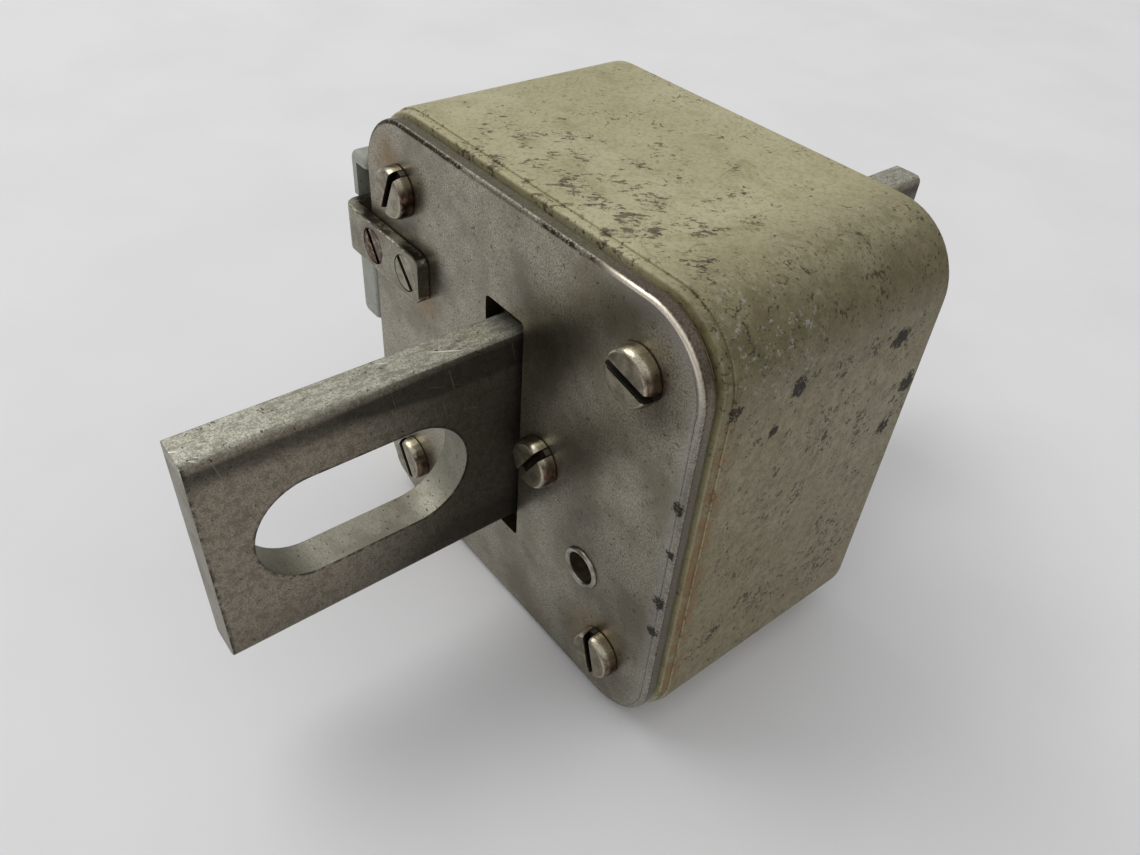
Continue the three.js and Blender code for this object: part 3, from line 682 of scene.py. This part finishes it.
def painted_face_shade(look):
    """Painted shade: a dark band under the upper edge, the part near the plate, and a little along the lower
    edge.
    """
    _, y, z = look.axes()
    under = look.rise(z, BLADE_TOP - 5.5 * MM, BLADE_TOP - 2.4 * MM)
    band = look.times(under, look.rise(z, BLADE_TOP - 0.7 * MM, BLADE_TOP - 1.8 * MM))
    root = look.rise(look.math("ABSOLUTE", y), 56 * MM, 33 * MM)
    foot = look.rise(z, BLADE["front"].low + 9 * MM, BLADE["front"].low)
    total = look.plus((band, 0.85), (root, 0.85), (foot, 0.35))
    return look.least(total, 1.0)


def blade_gap(look):
    """How far a point of a blade is from its tip, its lower edge or its bolt slot, whichever is nearest."""
    _, y, z = look.axes()
    along = look.math("ABSOLUTE", y)
    tip = look.math("SUBTRACT", BLADE["rear"].far, along)
    foot = look.math("SUBTRACT", z, BLADE["rear"].low)
    straight = (BOLT_SLOT_LENGTH - BOLT_SLOT_WIDTH) / 2
    from_middle = look.apart(along, BOLT_SLOT_CENTRE)
    beyond = look.most(look.math("SUBTRACT", from_middle, straight), 0.0)
    above = look.math("SUBTRACT", z, CENTRE_HEIGHT)
    from_axis = look.math("SQRT", look.plus((beyond, beyond), (above, above)))
    slot = look.apart(from_axis, BOLT_SLOT_WIDTH / 2)
    return look.least(tip, foot, slot)


# ---- Materials of the small pieces ----

NICKEL = shade(192, 185, 164)
NICKEL_DULL = shade(120, 113, 97)
# Brown rust on the rusty head, also a painted dark reflection on the heads' skirts.
BROWN_TARNISH_AND_REFLECTION = shade(78, 50, 36)
# How much painted shade a slot's floor gets, next to its walls.
SLOT_FLOOR_SHADE = 0.75
MOULDING = shade(162, 165, 154)
MOULDING_DARK = shade(143, 146, 136)
FLOOR_LIGHT = shade(234, 234, 236)
FLOOR_DARK = shade(229, 229, 231)


def screw_metal(name, face, slot_width, rust=0.0):
    """A slotted head whose face is at local y = -face. Its skirt, except where it faces up, gets a painted
    dark brown reflection, and its slot gets painted shade.
    """
    look = Look(name, NICKEL, metallic=1.0)
    y = look.axes()[1]
    cloud = look.noise(1.8 * MM, 4, 0.6)
    grain = look.noise(0.25 * MM, 3, 0.8)
    flat = look.rise(look.axes(look.facing)[1], -0.8, -0.97)
    look.paint(NICKEL_DULL, flat, look.plus(0.5, (look.rise(cloud, 0.4, 0.65), 0.5)))
    look.paint(NICKEL_DULL, look.rise(grain, 0.45, 0.6), 0.5)
    upward = look.axes(look.node("ShaderNodeNewGeometry")["Normal"])[2]
    # Painted dark reflection: the skirt is painted brown except where it faces up.
    skirt = look.times(look.rise(y, -face + 0.05 * MM, -face + 0.45 * MM), look.rise(upward, 0.8, 0.3))
    look.paint(BROWN_TARNISH_AND_REFLECTION, skirt, look.plus(0.72, (look.patches(1.4 * MM, 0.4, 0.6, 3), 0.26)))
    look.paint(BROWN_TARNISH_AND_REFLECTION, look.patches(1.1 * MM, 0.3, 0.55, 4, 0.6), rust)
    # Painted shade in the slot.
    slot = slot_shade(look, face, slot_width)
    look.paint(DIRT_AND_SHADE, slot, 0.97)
    pits = look.patches(0.4 * MM, 0.68, 0.73)
    look.paint(DIRT_AND_SHADE, pits, 0.5)
    roughness = look.plus(0.17, (flat, 0.18), (cloud, 0.08), (slot, 0.5))
    height = look.plus((cloud, 0.4), (grain, 0.35), (pits, -0.4))
    return look.finish(roughness, height, 0.03 * MM)


def slot_shade(look, face, slot_width):
    """Painted shade: 1 on the walls of a screw's slot, and a little less on its floor."""
    _, y, z = look.axes()
    across_slot = look.math("ABSOLUTE", z)
    wall = look.rise(look.apart(across_slot, slot_width * 0.5), 0.3 * MM, 0.12 * MM)
    inside = look.rise(across_slot, slot_width * 0.56, slot_width * 0.49)
    deep = look.rise(y, -face + 0.1 * MM, -face + 0.35 * MM)
    return look.times(deep, inside, look.plus(SLOT_FLOOR_SHADE, (wall, 1 - SLOT_FLOOR_SHADE)))


def grey_moulding():
    """The housing's dull grey moulding, with pits of dirt and painted shade in its pockets."""
    look = Look("grey_moulding", MOULDING)
    cloud = look.noise(6 * MM, 6, 0.65)
    grain = look.noise(0.4 * MM, 3, 0.7)
    look.paint(MOULDING_DARK, look.rise(cloud, 0.4, 0.7))
    look.paint(MOULDING_DARK, look.rise(grain, 0.45, 0.65), 0.6)
    # Painted shade in the pockets and corners.
    look.paint(DIRT_AND_SHADE, look.hollow_shade(4 * MM, 0.3, 0.85), 0.85)
    look.paint(DIRT_AND_SHADE, look.patches(0.6 * MM, 0.68, 0.73), 0.6)
    look.paint(CHALK, look.worn_edge(0.4 * MM), look.patches(2 * MM, 0.45, 0.6, 4), 0.35)
    roughness = look.plus(0.4, (cloud, 0.2))
    return look.finish(roughness, look.plus(cloud, (grain, 0.2)), 0.05 * MM)


def plain_metal(name, light, dark, rough):
    """Small turned or drawn pieces: two tones of one metal, with fine grain and painted shade in the
    hollows.
    """
    look = Look(name, light, metallic=1.0)
    cloud = look.noise(2 * MM, 4, 0.6)
    grain = look.noise(0.2 * MM, 3)
    look.paint(dark, look.rise(cloud, 0.35, 0.7))
    # Painted shade in the hollows.
    look.paint(DIRT_AND_SHADE, look.hollow_shade(1.5 * MM, 0.5, 0.95), 0.7)
    roughness = look.plus(rough, (cloud, 0.15))
    return look.finish(roughness, look.plus(cloud, (grain, 0.3)), 0.03 * MM)


def dry_matter(name, light, dark, grain_size):
    """Fibre, putty and sand: matt, with visible grain."""
    look = Look(name, light)
    grain = look.noise(grain_size, 4, 0.7)
    look.paint(dark, look.rise(grain, 0.35, 0.65))
    return look.finish(look.plus(0.8, (grain, 0.15)), grain, grain_size * 0.3)


def white_table():
    look = Look("white_table", FLOOR_LIGHT)
    look.paint(FLOOR_DARK, look.patches(60 * MM, 0.35, 0.7, 4))
    return look.finish(0.75, look.noise(0.5 * MM, 3), 0.01 * MM)


# ---- Mesh building ----

def mesh_from(name, bm):
    bmesh.ops.recalc_face_normals(bm, faces=bm.faces)
    mesh = bpy.data.meshes.new(name)
    bm.to_mesh(mesh)
    bm.free()
    return mesh


def linked(name, data):
    """A new object in the scene."""
    made = bpy.data.objects.new(name, data)
    bpy.context.scene.collection.objects.link(made)
    return made


def piece(name, bm, material, body="fuse", sharp=35):
    """A finished mesh object from bm, smooth except over edges sharper than sharp degrees."""
    mesh = mesh_from(name, bm)
    mesh.shade_smooth()
    mesh.set_sharp_from_angle(angle=radians(sharp))
    mesh.materials.append(material)
    return place(name, mesh, body)


def place(name, mesh, body="fuse", matrix=None):
    made = linked(name, mesh)
    made.matrix_world = matrix or Matrix.Identity(4)
    flatter = made.modifiers.new("flat faces", "WEIGHTED_NORMAL")
    flatter.keep_sharp = True
    if body:
        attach(made, body)
    return made


def arc(centre, radius, start, end, steps):
    """Points along an arc from start to end degrees, both included."""
    points = []
    for i in range(steps + 1):
        angle = radians(start + (end - start) * i / steps)
        points.append((centre[0] + radius * cos(angle), centre[1] + radius * sin(angle)))
    return points


def circle(radius, sides):
    return arc((0, 0), radius, 0, 360 * (sides - 1) / sides, sides - 1)


def rounded(left, right, low, high, radii, steps=8):
    """A rectangle from its top right corner round to its low right one, with a radius for each corner."""
    corners = ((right, high, -1, -1), (left, high, 1, -1), (left, low, 1, 1), (right, low, -1, 1))
    points = []
    for i, ((x, z, to_x, to_z), radius) in enumerate(zip(corners, radii)):
        points += arc((x + to_x * radius, z + to_z * radius), radius, 90 * i, 90 * i + 90, steps)
    return points


def across(points, y):
    return [(x, y, z) for x, z in points]


def loft(rings, ends="capped"):
    """Quads between rings of equal length. The ends are capped, or joined to each other."""
    bm = bmesh.new()
    rows = [[bm.verts.new(point) for point in ring] for ring in rings]
    pairs = list(zip(rows, rows[1:]))
    if ends == "joined":
        pairs.append((rows[-1], rows[0]))
    for row, following in pairs:
        for i, corner in enumerate(row):
            j = (i + 1) % len(row)
            bm.faces.new((corner, row[j], following[j], following[i]))
    if ends == "capped":
        bm.faces.new(rows[0])
        bm.faces.new(rows[-1])
    return bm


def quarter(edge, steps=6):
    """(inset, depth) round a quarter circle, from the face of a piece to its side."""
    angles = [pi / 2 * i / steps for i in range(steps + 1)]
    return [(edge * (1 - sin(angle)), edge * (1 - cos(angle))) for angle in angles]


def eased(near, far, near_edge, far_edge):
    """(inset, y) for rings from near to far, with both edges rounded."""
    start = [(inset, near + depth) for inset, depth in quarter(near_edge)]
    return start + [(inset, far - depth) for inset, depth in reversed(quarter(far_edge))]


def block_rings(span, corner, edge, steps=8):
    """Rings for a block that fills span, with rounded corners seen along Y and softened ends."""
    rings = []
    for inset, y in eased(span.near, span.far, edge, edge):
        left, right = span.left + inset, span.right - inset
        low, high = span.low + inset, span.high - inset
        rings.append(across(rounded(left, right, low, high, [corner - inset] * 4, steps), y))
    return rings


def lathe(profile, steps=64):
    """Turned about local Y from (radius, y) points that start and end on the axis."""
    bm = bmesh.new()
    first = bm.verts.new((0, profile[0][1], 0))
    last = bm.verts.new((0, profile[-1][1], 0))
    rings = [across(circle(radius, steps), y) for radius, y in profile[1:-1]]
    rows = [[bm.verts.new(point) for point in ring] for ring in rings]
    for row, following in zip(rows, rows[1:]):
        for i in range(steps):
            j = (i + 1) % steps
            bm.faces.new((row[i], row[j], following[j], following[i]))
    for i in range(steps):
        j = (i + 1) % steps
        bm.faces.new((first, rows[0][i], rows[0][j]))
        bm.faces.new((last, rows[-1][j], rows[-1][i]))
    return bm


def turned_ring(profile, steps=64):
    """Turned about local Y from a closed loop of (radius, y) points."""
    return loft([across(circle(radius, steps), y) for radius, y in profile], "joined")


def box_tool(left, right, near, far, low, high):
    corners = [(right, high), (left, high), (left, low), (right, low)]
    return loft([across(corners, near), across(corners, far)])


def drill(x, z, radius, near, far, sides=32):
    """A round bar along Y for cutting with."""
    ring = [(x + px, z + pz) for px, pz in circle(radius, sides)]
    return loft([across(ring, near), across(ring, far)])


def drills(spots, radius, near, far):
    return [drill(spot.x, spot.z, radius, near, far) for spot in spots]


def loose(bm):
    return linked("tool", mesh_from("tool", bm))


def cut(bm, tools, edge=0.0, sharp=50, segments=2):
    """bm with the tools cut out of it, and then its sharp edges rounded by edge."""
    target = loose(bm)
    cutters = [loose(tool) for tool in tools]
    for cutter in cutters:
        away = target.modifiers.new("cut", "BOOLEAN")
        away.operation = "DIFFERENCE"
        away.solver = "EXACT"
        away.object = cutter
    if edge:
        soften = target.modifiers.new("edge", "BEVEL")
        soften.width = edge
        soften.segments = segments
        soften.limit_method = "ANGLE"
        soften.angle_limit = radians(sharp)
    bpy.context.view_layer.update()
    result = bmesh.new()
    result.from_mesh(target.evaluated_get(bpy.context.evaluated_depsgraph_get()).to_mesh())
    for made in [target] + cutters:
        bpy.data.objects.remove(made)
    return result


# ---- Ceramic body, end plates and blades ----

def places(end, kind, count):
    return [Span(f"{end}_{kind}_{i + 1}").middle for i in range(count)]


def body_ring(inset, y):
    half = (BODY.right - BODY.left) / 2 - inset
    corners = [BODY_CORNER - inset] * 4
    return across(rounded(-half, half, CENTRE_HEIGHT - half, CENTRE_HEIGHT + half, corners, 16), y)


def ceramic_body(material):
    """The front end has a lip that steps in a little. The rear end is plain."""
    rings = [body_ring(LIP_STEP + inset, BODY.near + depth) for inset, depth in quarter(LIP_EDGE)]
    rings.append(body_ring(LIP_STEP, LIP_START))
    rings += [body_ring(inset, y) for inset, y in eased(LIP_START, BODY.far, SHOULDER_EDGE, BODY_EDGE)]
    bore = []
    for x, _, z in rings[0]:
        away = Vector((x, z - CENTRE_HEIGHT)).normalized() * BORE_RADIUS
        bore.append((away.x, CENTRE_HEIGHT + away.y))
    rings = [across(bore, BODY.near)] + rings + [across(bore, BODY.far)]
    near, far = BODY.near - BEYOND, BODY.far + BEYOND
    holes = drills(places("rear", "corner_screw", 4), SCREW_HOLE_RADIUS, near, far)
    made = piece("ceramic_shell", cut(loft(rings, "joined"), holes), material)
    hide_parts("ceramic_body")


def end_plate(end, material):
    span = PLATE[end]
    near, far = span.near - BEYOND, span.far + BEYOND
    half_width, half_height = OPENING_WIDTH / 2, OPENING_HEIGHT / 2
    low, high = CENTRE_HEIGHT - half_height, CENTRE_HEIGHT + half_height
    opening = rounded(-half_width, half_width, low, high, [OPENING_CORNER] * 4, 4)
    holes = [loft([across(opening, near), across(opening, far)])]
    for kind, count in (("corner_screw", 4), ("contact_screw", 2)):
        holes += drills(places(end, kind, count), SCREW_HOLE_RADIUS, near, far)
    holes += drills(places(end, "bracket_screw", 2), BRACKET_HOLE_RADIUS, near, far)
    if end == "front":
        holes += drills([EYELET.middle], EYELET_HOLE_RADIUS, near, far)
    plate = loft(block_rings(span, PLATE_CORNER, PLATE_EDGE, 14))
    made = piece(f"{end}_cover_plate", cut(plate, holes, HOLE_BURR), material)
    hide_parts(f"{end}_end_plate")


def blade(end, side, material):
    span = BLADE[end]
    half = (span.right - span.left) / 2
    radii = [BLADE_NEAR_ROUND, BLADE_FAR_ROUND, BLADE_FAR_ROUND, BLADE_NEAR_ROUND]
    section = rounded(-half, half, span.low, span.high, radii)
    tenon_low, tenon_high = CENTRE_HEIGHT - TENON_WIDTH / 2, CENTRE_HEIGHT + TENON_WIDTH / 2
    tenon = rounded(-half, half, tenon_low, tenon_high, [BLADE_FAR_ROUND] * 4)
    inner, tip = sorted((abs(span.near), abs(span.far)))
    rings = [across(tenon, side * inner), across(tenon, side * BLADE_SHOULDER)]
    rings += [across(section, side * BLADE_SHOULDER), across(section, side * tip)]
    radius = BOLT_SLOT_WIDTH / 2
    straight = BOLT_SLOT_LENGTH / 2 - radius
    loop = arc((side * BOLT_SLOT_CENTRE + straight, CENTRE_HEIGHT), radius, -90, 90, 32)
    loop += arc((side * BOLT_SLOT_CENTRE - straight, CENTRE_HEIGHT), radius, 90, 270, 32)
    slot = loft([[(x, y, z) for y, z in loop] for x in (-2 * half, 2 * half)])
    made = piece(f"{end}_contact_blade", cut(loft(rings), [slot], BLADE_BURR), material, sharp=60)
    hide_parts(f"{end}_blade")


# ---- Screws ----

def slotted_mesh(name, profile, width, depth, face, material):
    """A turned screw with its slot along local X and its face towards local -Y."""
    reach = PAN_HEAD_RADIUS + BEYOND
    slot = box_tool(-reach, reach, -face - BEYOND, -face + depth, -width / 2, width / 2)
    made = piece(name, cut(lathe(profile), [slot], SLOT_BURR, 45), material, None)
    mesh = made.data
    bpy.data.objects.remove(made)
    return mesh


def pan_mesh(name, shank_length, material):
    """The plate's face is at local y = 0. A ring inside the head's face keeps that face flat."""
    top = -PAN_HEAD_HEIGHT
    rounding = PAN_HEAD_RADIUS - PAN_FACE_RADIUS
    profile = [(0, top), (PAN_FACE_RADIUS * 0.7, top)]
    for i in range(9):
        angle = pi / 2 * i / 8
        profile.append((PAN_FACE_RADIUS + rounding * sin(angle), top + PAN_SKIRT_HEIGHT * (1 - cos(angle))))
    profile += [(PAN_HEAD_RADIUS, -HEAD_CHAMFER), (PAN_HEAD_RADIUS - HEAD_CHAMFER, 0), (PAN_SHANK_RADIUS, 0)]
    profile += thread(PAN_SHANK_RADIUS, THREAD_START, shank_length)
    profile.append((0, shank_length))
    return slotted_mesh(name, profile, PAN_SLOT_WIDTH, PAN_SLOT_DEPTH, PAN_HEAD_HEIGHT, material)


def thread(radius, start, end):
    """The zigzag of a screw thread from start to end, as rings round the shank."""
    turns = int((end - start) / THREAD_PITCH)
    profile = []
    for i in range(turns):
        y = start + i * THREAD_PITCH
        profile += [(radius, y), (radius - THREAD_DEPTH, y + THREAD_PITCH / 2)]
    return profile + [(radius - 2 * THREAD_DEPTH, end)]


def flush_mesh(name, material):
    """A countersunk screw. The plate's face is at local y = 0 and the bracket's at -BRACKET_THICKNESS."""
    face = BRACKET_THICKNESS
    profile = [(0, -face), (FLUSH_FACE_RADIUS, -face), (FLUSH_RADIUS, -face + HEAD_CHAMFER)]
    profile += [(FLUSH_RADIUS, -face + FLUSH_RIM), (FLUSH_SHANK_RADIUS, -face + FLUSH_DEPTH)]
    profile += [(FLUSH_SHANK_RADIUS, FLUSH_LENGTH), (0, FLUSH_LENGTH)]
    return slotted_mesh(name, profile, FLUSH_SLOT_WIDTH, FLUSH_SLOT_DEPTH, face, material)


def put_screws(end, side, kind, turns, meshes):
    for i, (spot, turn) in enumerate(zip(places(end, kind, len(turns)), turns)):
        there = Matrix.Translation((spot.x, side * SEAT, spot.z))
        if side > 0:
            there = there @ Matrix.Rotation(pi, 4, "Z")
        there = there @ Matrix.Rotation(radians(side * turn), 4, "Y")
        made = place(f"{end}_{kind}_head_{i + 1}", meshes[i % len(meshes)], "fuse", there)
        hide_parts(f"{end}_{kind}_{i + 1}")


# ---- Filling eyelet ----

def fill_eyelet(material):
    inner, outer, rim = EYELET_INNER_RADIUS, EYELET_OUTER_RADIUS, EYELET_RIM_RADIUS
    face = -SEAT
    roll = (rim - inner) / 2
    profile = [(inner, EYELET.far), (outer, EYELET.far), (outer, face)]
    for sideways, outward in arc((0, 0), 1, 0, 180, 12):
        profile.append((rim - roll + sideways * roll, face + (EYELET.near - face) * outward))
    bm = turned_ring(profile)
    bm.transform(Matrix.Translation((EYELET.middle.x, 0, EYELET.middle.z)))
    made = piece("rolled_eyelet", bm, material)
    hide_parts("fill_eyelet")


# ---- Trip indicator ----

def bracket_path(span, side):
    """(x, y, distance to the nearer end, direction across the strip) along the middle of the bent strip."""
    half = BRACKET_THICKNESS / 2
    face = side * (SEAT + half)
    radius = BRACKET_BEND - half
    turn_x, turn_y = span.left + BRACKET_BEND, face - side * radius
    leg_end = side * min(abs(span.near), abs(span.far))
    ease = [BRACKET_CORNER * (1 - cos(pi / 2 * i / 6)) for i in range(7)]
    stops = [(span.right - step, face, step, (0, side)) for step in ease]
    stops.append(((span.right + turn_x) / 2, face, BRACKET_CORNER, (0, side)))
    for i in range(9):
        angle = pi / 2 * i / 8
        out = (-sin(angle), side * cos(angle))
        stops.append((turn_x + radius * out[0], turn_y + radius * out[1], BRACKET_CORNER, out))
    middle_x = turn_x - radius
    stops += [(middle_x, leg_end + side * step, step, (-1, 0)) for step in reversed(ease)]
    return stops


def countersink(side):
    """A tool that leaves room for a flush screw, with the plate's face at y = 0."""
    face = BRACKET_THICKNESS
    mouth = FLUSH_RADIUS + SINK_GAP
    profile = [(0, -face - BEYOND), (mouth, -face - BEYOND), (mouth, -face + FLUSH_RIM)]
    profile += [(BRACKET_HOLE_RADIUS, -face + SINK_DEPTH), (BRACKET_HOLE_RADIUS, BEYOND), (0, BEYOND)]
    return lathe([(radius, -side * y) for radius, y in profile], 48)


def bracket(end, side, material):
    span = Span(f"{end}_indicator_bracket")
    half_height = (span.high - span.low) / 2
    middle = (span.high + span.low) / 2
    rings = []
    for x, y, step, (out_x, out_y) in bracket_path(span, side):
        nearness = 1 - step / BRACKET_CORNER
        height = half_height - BRACKET_CORNER * (1 - sqrt(1 - nearness * nearness))
        pinch = BRACKET_END_PINCH if step == 0 else 0
        half = BRACKET_THICKNESS / 2 - pinch
        section = rounded(-half, half, middle - height, middle + height, [BRACKET_EDGE] * 4, 3)
        rings.append([(x + depth * out_x, y + depth * out_y, z) for depth, z in section])
    sinks = []
    for spot in places(end, "bracket_screw", 2):
        sink = countersink(side)
        sink.transform(Matrix.Translation((spot.x, side * SEAT, spot.z)))
        sinks.append(sink)
    made = piece(f"{end}_trip_bracket", cut(loft(rings), sinks), material)
    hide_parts(f"{end}_indicator_bracket")


def indicator_housing(material):
    """Each bracket's leg lies in a notch. A pocket above it leaves the outer wall standing."""
    left, right, wall = HOUSING.left - BEYOND, HOUSING.right + BEYOND, HOUSING.left + POCKET_WALL
    tools = []
    for _, side in ENDS:
        near, far = sorted((side * (HOUSING.far - POCKET_DEPTH), side * (HOUSING.far + BEYOND)))
        tools.append(box_tool(left, right, near, far, NOTCH_LOW, NOTCH_HIGH))
        tools.append(box_tool(wall, right, near, far, NOTCH_HIGH - BEYOND, POCKET_HIGH))
    reach = HOUSING.far - POCKET_DEPTH + BEYOND
    tools.append(drill(STRIKER.middle.x, WIRE_HEIGHT, WIRE_CHANNEL, -reach, reach))
    tools.append(upright(drill(0, 0, STRIKER_BORE_RADIUS, STRIKER_BORE_FLOOR, HOUSING.high + BEYOND)))
    block = loft(block_rings(HOUSING, HOUSING_CORNER, HOUSING_EDGE))
    made = piece("trip_housing", cut(block, tools, POCKET_EDGE, 55, 3), material)
    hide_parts("indicator_housing")


def upright(bm):
    """A piece turned about Y stood up on Z at the striker's place."""
    bm.transform(Matrix.Translation((STRIKER.middle.x, 0, 0)) @ Matrix.Rotation(pi / 2, 4, "X"))
    return bm


def striker(material):
    flange_radius = (STRIKER.right - STRIKER.left) / 2
    flange_low, flange_high = STRIKER.low, STRIKER.low + STRIKER_FLANGE
    profile = [(0, flange_low), (flange_radius - STRIKER_CHAMFER, flange_low)]
    profile += [(flange_radius, flange_low + STRIKER_CHAMFER)]
    profile += [(flange_radius, flange_high), (STRIKER_RADIUS, flange_high)]
    for x, y in arc((0, 0), STRIKER_TIP_ROUND, 0, 90, 6):
        profile.append((STRIKER_RADIUS - STRIKER_TIP_ROUND + x, STRIKER.high - STRIKER_TIP_ROUND + y))
    profile.append((0, STRIKER.high))
    made = piece("striker_pin", upright(lathe(profile, 40)), material, "striker")
    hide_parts("indicator_striker")


def striker_bush(material):
    """A sleeve in the housing's bore, with a flange on top. The striker slides in it."""
    inner, outer = STRIKER_RADIUS + STRIKER_CLEARANCE, STRIKER_BORE_RADIUS - BUSH_CLEARANCE
    rim_radius = (BUSH.right - BUSH.left) / 2
    rim = HOUSING.high + BUSH_RIM_GAP
    profile = [(inner, BUSH.low), (outer, BUSH.low), (outer, rim), (rim_radius, rim)]
    profile += [(rim_radius, BUSH.high - BUSH_CHAMFER), (rim_radius - BUSH_CHAMFER, BUSH.high)]
    profile += [(inner + STRIKER_CHAMFER, BUSH.high), (inner, BUSH.high - STRIKER_CHAMFER)]
    made = piece("striker_guide", upright(turned_ring(profile, 48)), material)
    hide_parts("striker_bush")


def tube(path, radius, sides=12):
    """A round wire along a path of points, with flat ends."""
    rings = []
    for i, point in enumerate(path):
        before, after = path[max(i - 1, 0)], path[min(i + 1, len(path) - 1)]
        along = (after - before).normalized()
        side = along.cross(Vector((0.3, 0.2, 1))).normalized()
        up = side.cross(along)
        rings.append([point + side * x + up * y for x, y in circle(radius, sides)])
    return loft(rings)


def spring(material):
    span = Span("indicator_spring")
    low, high = span.low + SPRING_WIRE_RADIUS, span.high - SPRING_WIRE_RADIUS
    x = STRIKER.middle.x
    count = SPRING_TURNS * SPRING_STEPS
    path = []
    for i in range(count + 1):
        angle = 2 * pi * SPRING_TURNS * i / count
        height = low + (high - low) * i / count
        path.append(Vector((x + SPRING_RADIUS * cos(angle), SPRING_RADIUS * sin(angle), height)))
    made = piece("coil_spring", tube(path, SPRING_WIRE_RADIUS), material, None)
    made.modifiers.clear()
    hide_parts("indicator_spring")
    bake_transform(made)


def trip_wire(material):
    """The wire is one piece while the fuse is whole. The part inside the striker leaves with it."""
    reach = Span("trip_wire").far
    eye = STRIKER_RADIUS + WIRE_GAP
    steps = 6
    stretches = (
        ("front", -reach, -eye, "fuse"),
        ("middle", -eye, eye, "striker"),
        ("rear", eye, reach, "fuse"),
    )
    for name, near, far, body in stretches:
        places_along = [near + (far - near) * i / steps for i in range(steps + 1)]
        path = [Vector((STRIKER.middle.x, y, WIRE_HEIGHT)) for y in places_along]
        made = piece(f"trip_wire_{name}", tube(path, WIRE_RADIUS), material, body)
        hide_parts("trip_wire")


# ---- Pieces kept from the CAD model ----

def dress(node, material):
    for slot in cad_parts[node].material_slots:
        slot.material = material


# ---- The whole fuse ----

def build():
    plate_looks = {
        "front": plated_steel("front", HALOS, PAINTED_SHADOWS, SPOTS),
        "rear": plated_steel("rear"),
    }
    bracket_look = bracket_steel()
    blade_look = aged_blade()
    pan_look = screw_metal("screw_nickel", PAN_HEAD_HEIGHT, PAN_SLOT_WIDTH)
    flush_look = screw_metal("bracket_screw_nickel", BRACKET_THICKNESS, FLUSH_SLOT_WIDTH)
    rusty_look = screw_metal("rusty_bracket_screw", BRACKET_THICKNESS, FLUSH_SLOT_WIDTH, 1.0)
    brass = plain_metal("turned_brass", shade(206, 178, 110), shade(150, 122, 70), 0.3)
    steel = plain_metal("spring_wire", shade(168, 170, 172), shade(110, 112, 116), 0.3)
    copper = plain_metal("bare_copper", shade(96, 68, 50), shade(48, 36, 30), 0.5)
    silver = plain_metal("silver_strip", shade(222, 220, 214), shade(176, 172, 164), 0.3)
    fibre = dry_matter("gasket_fibre", shade(112, 84, 52), shade(58, 44, 32), 0.5 * MM)
    sand = dry_matter("quartz_sand", shade(206, 196, 172), shade(150, 138, 112), 0.4 * MM)

    ceramic_body(glazed_ceramic())
    fill_eyelet(plain_metal("eyelet_nickel", shade(176, 172, 160), shade(120, 114, 100), 0.28))
    indicator_housing(grey_moulding())
    striker(brass)
    striker_bush(brass)
    spring(steel)
    trip_wire(steel)
    corner = [pan_mesh("corner_screw", CORNER_SHANK, pan_look)]
    contact = [pan_mesh("contact_screw", CONTACT_SHANK, pan_look)]
    flush = [flush_mesh("bracket_screw", flush_look), flush_mesh("rusty_bracket_screw", rusty_look)]
    for end, side in ENDS:
        end_plate(end, plate_looks[end])
        blade(end, side, blade_look)
        bracket(end, side, bracket_look)
        put_screws(end, side, "corner_screw", CORNER_SLOT_TURNS[end], corner)
        put_screws(end, side, "contact_screw", CONTACT_SLOT_TURNS[end], contact)
        put_screws(end, side, "bracket_screw", BRACKET_SLOT_TURNS[end], flush)
        dress(f"{end}_gasket", fibre)
        dress(f"{end}_contact_block", copper)
    for i in range(ELEMENT_COUNT):
        dress(f"fuse_element_{i + 1}", silver)
    dress("quartz_sand_fill", sand)
    dress("fill_plug", fibre)


# ---- Table, light and camera ----

def table():
    bm = bmesh.new()
    bmesh.ops.create_grid(bm, x_segments=8, y_segments=8, size=TABLE_HALF)
    floor = piece("table_top", bm, white_table(), None)


def key_lamp():
    data = bpy.data.lights.new("key", "AREA")
    data.shape = "DISK"
    data.size = KEY_SIZE
    data.energy = KEY_POWER
    data.color = KEY_COLOUR
    lamp = linked("key", data)
    lamp.location = KEY_PLACE
    aim = Vector((0, 0, CENTRE_HEIGHT)) - Vector(KEY_PLACE)
    lamp.rotation_euler = aim.to_track_quat("-Z", "Y").to_euler()


def lights():
    """A soft overhead dome, brighter at the zenith than at the horizon, and one large lamp on the left."""
    world = bpy.data.worlds.new("studio")
    bpy.context.scene.world = world
    world.use_nodes = True
    nodes, links = world.node_tree.nodes, world.node_tree.links
    direction = nodes.new("ShaderNodeTexCoord")
    parts = nodes.new("ShaderNodeSeparateXYZ")
    strength = nodes.new("ShaderNodeMapRange")
    strength.interpolation_type = "SMOOTHSTEP"
    strength.inputs["From Max"].default_value = DOME_FULL_HEIGHT
    strength.inputs["To Min"].default_value = HORIZON_STRENGTH
    strength.inputs["To Max"].default_value = ZENITH_STRENGTH
    background = nodes["Background"]
    background.inputs["Color"].default_value = (1, 1, 1, 1)
    links.new(direction.outputs["Generated"], parts.inputs[0])
    links.new(parts.outputs["Z"], strength.inputs["Value"])
    links.new(strength.outputs["Result"], background.inputs["Strength"])
    key_lamp()


def camera():
    data = bpy.data.cameras.new("camera")
    data.sensor_width = 36
    data.lens = CAMERA_LENS
    data.clip_start = 0.005
    made = linked("camera", data)
    bpy.context.scene.camera = made
    level = (CAMERA_AIM - CAMERA_PLACE).to_track_quat("-Z", "Y")
    made.rotation_mode = "QUATERNION"
    made.rotation_quaternion = level @ Quaternion((0, 0, 1), radians(CAMERA_ROLL))
    made.location = CAMERA_PLACE


bpy.context.scene.view_settings.view_transform = "Standard"
build()
table()
lights()
camera()
bpy.context.view_layer.update()
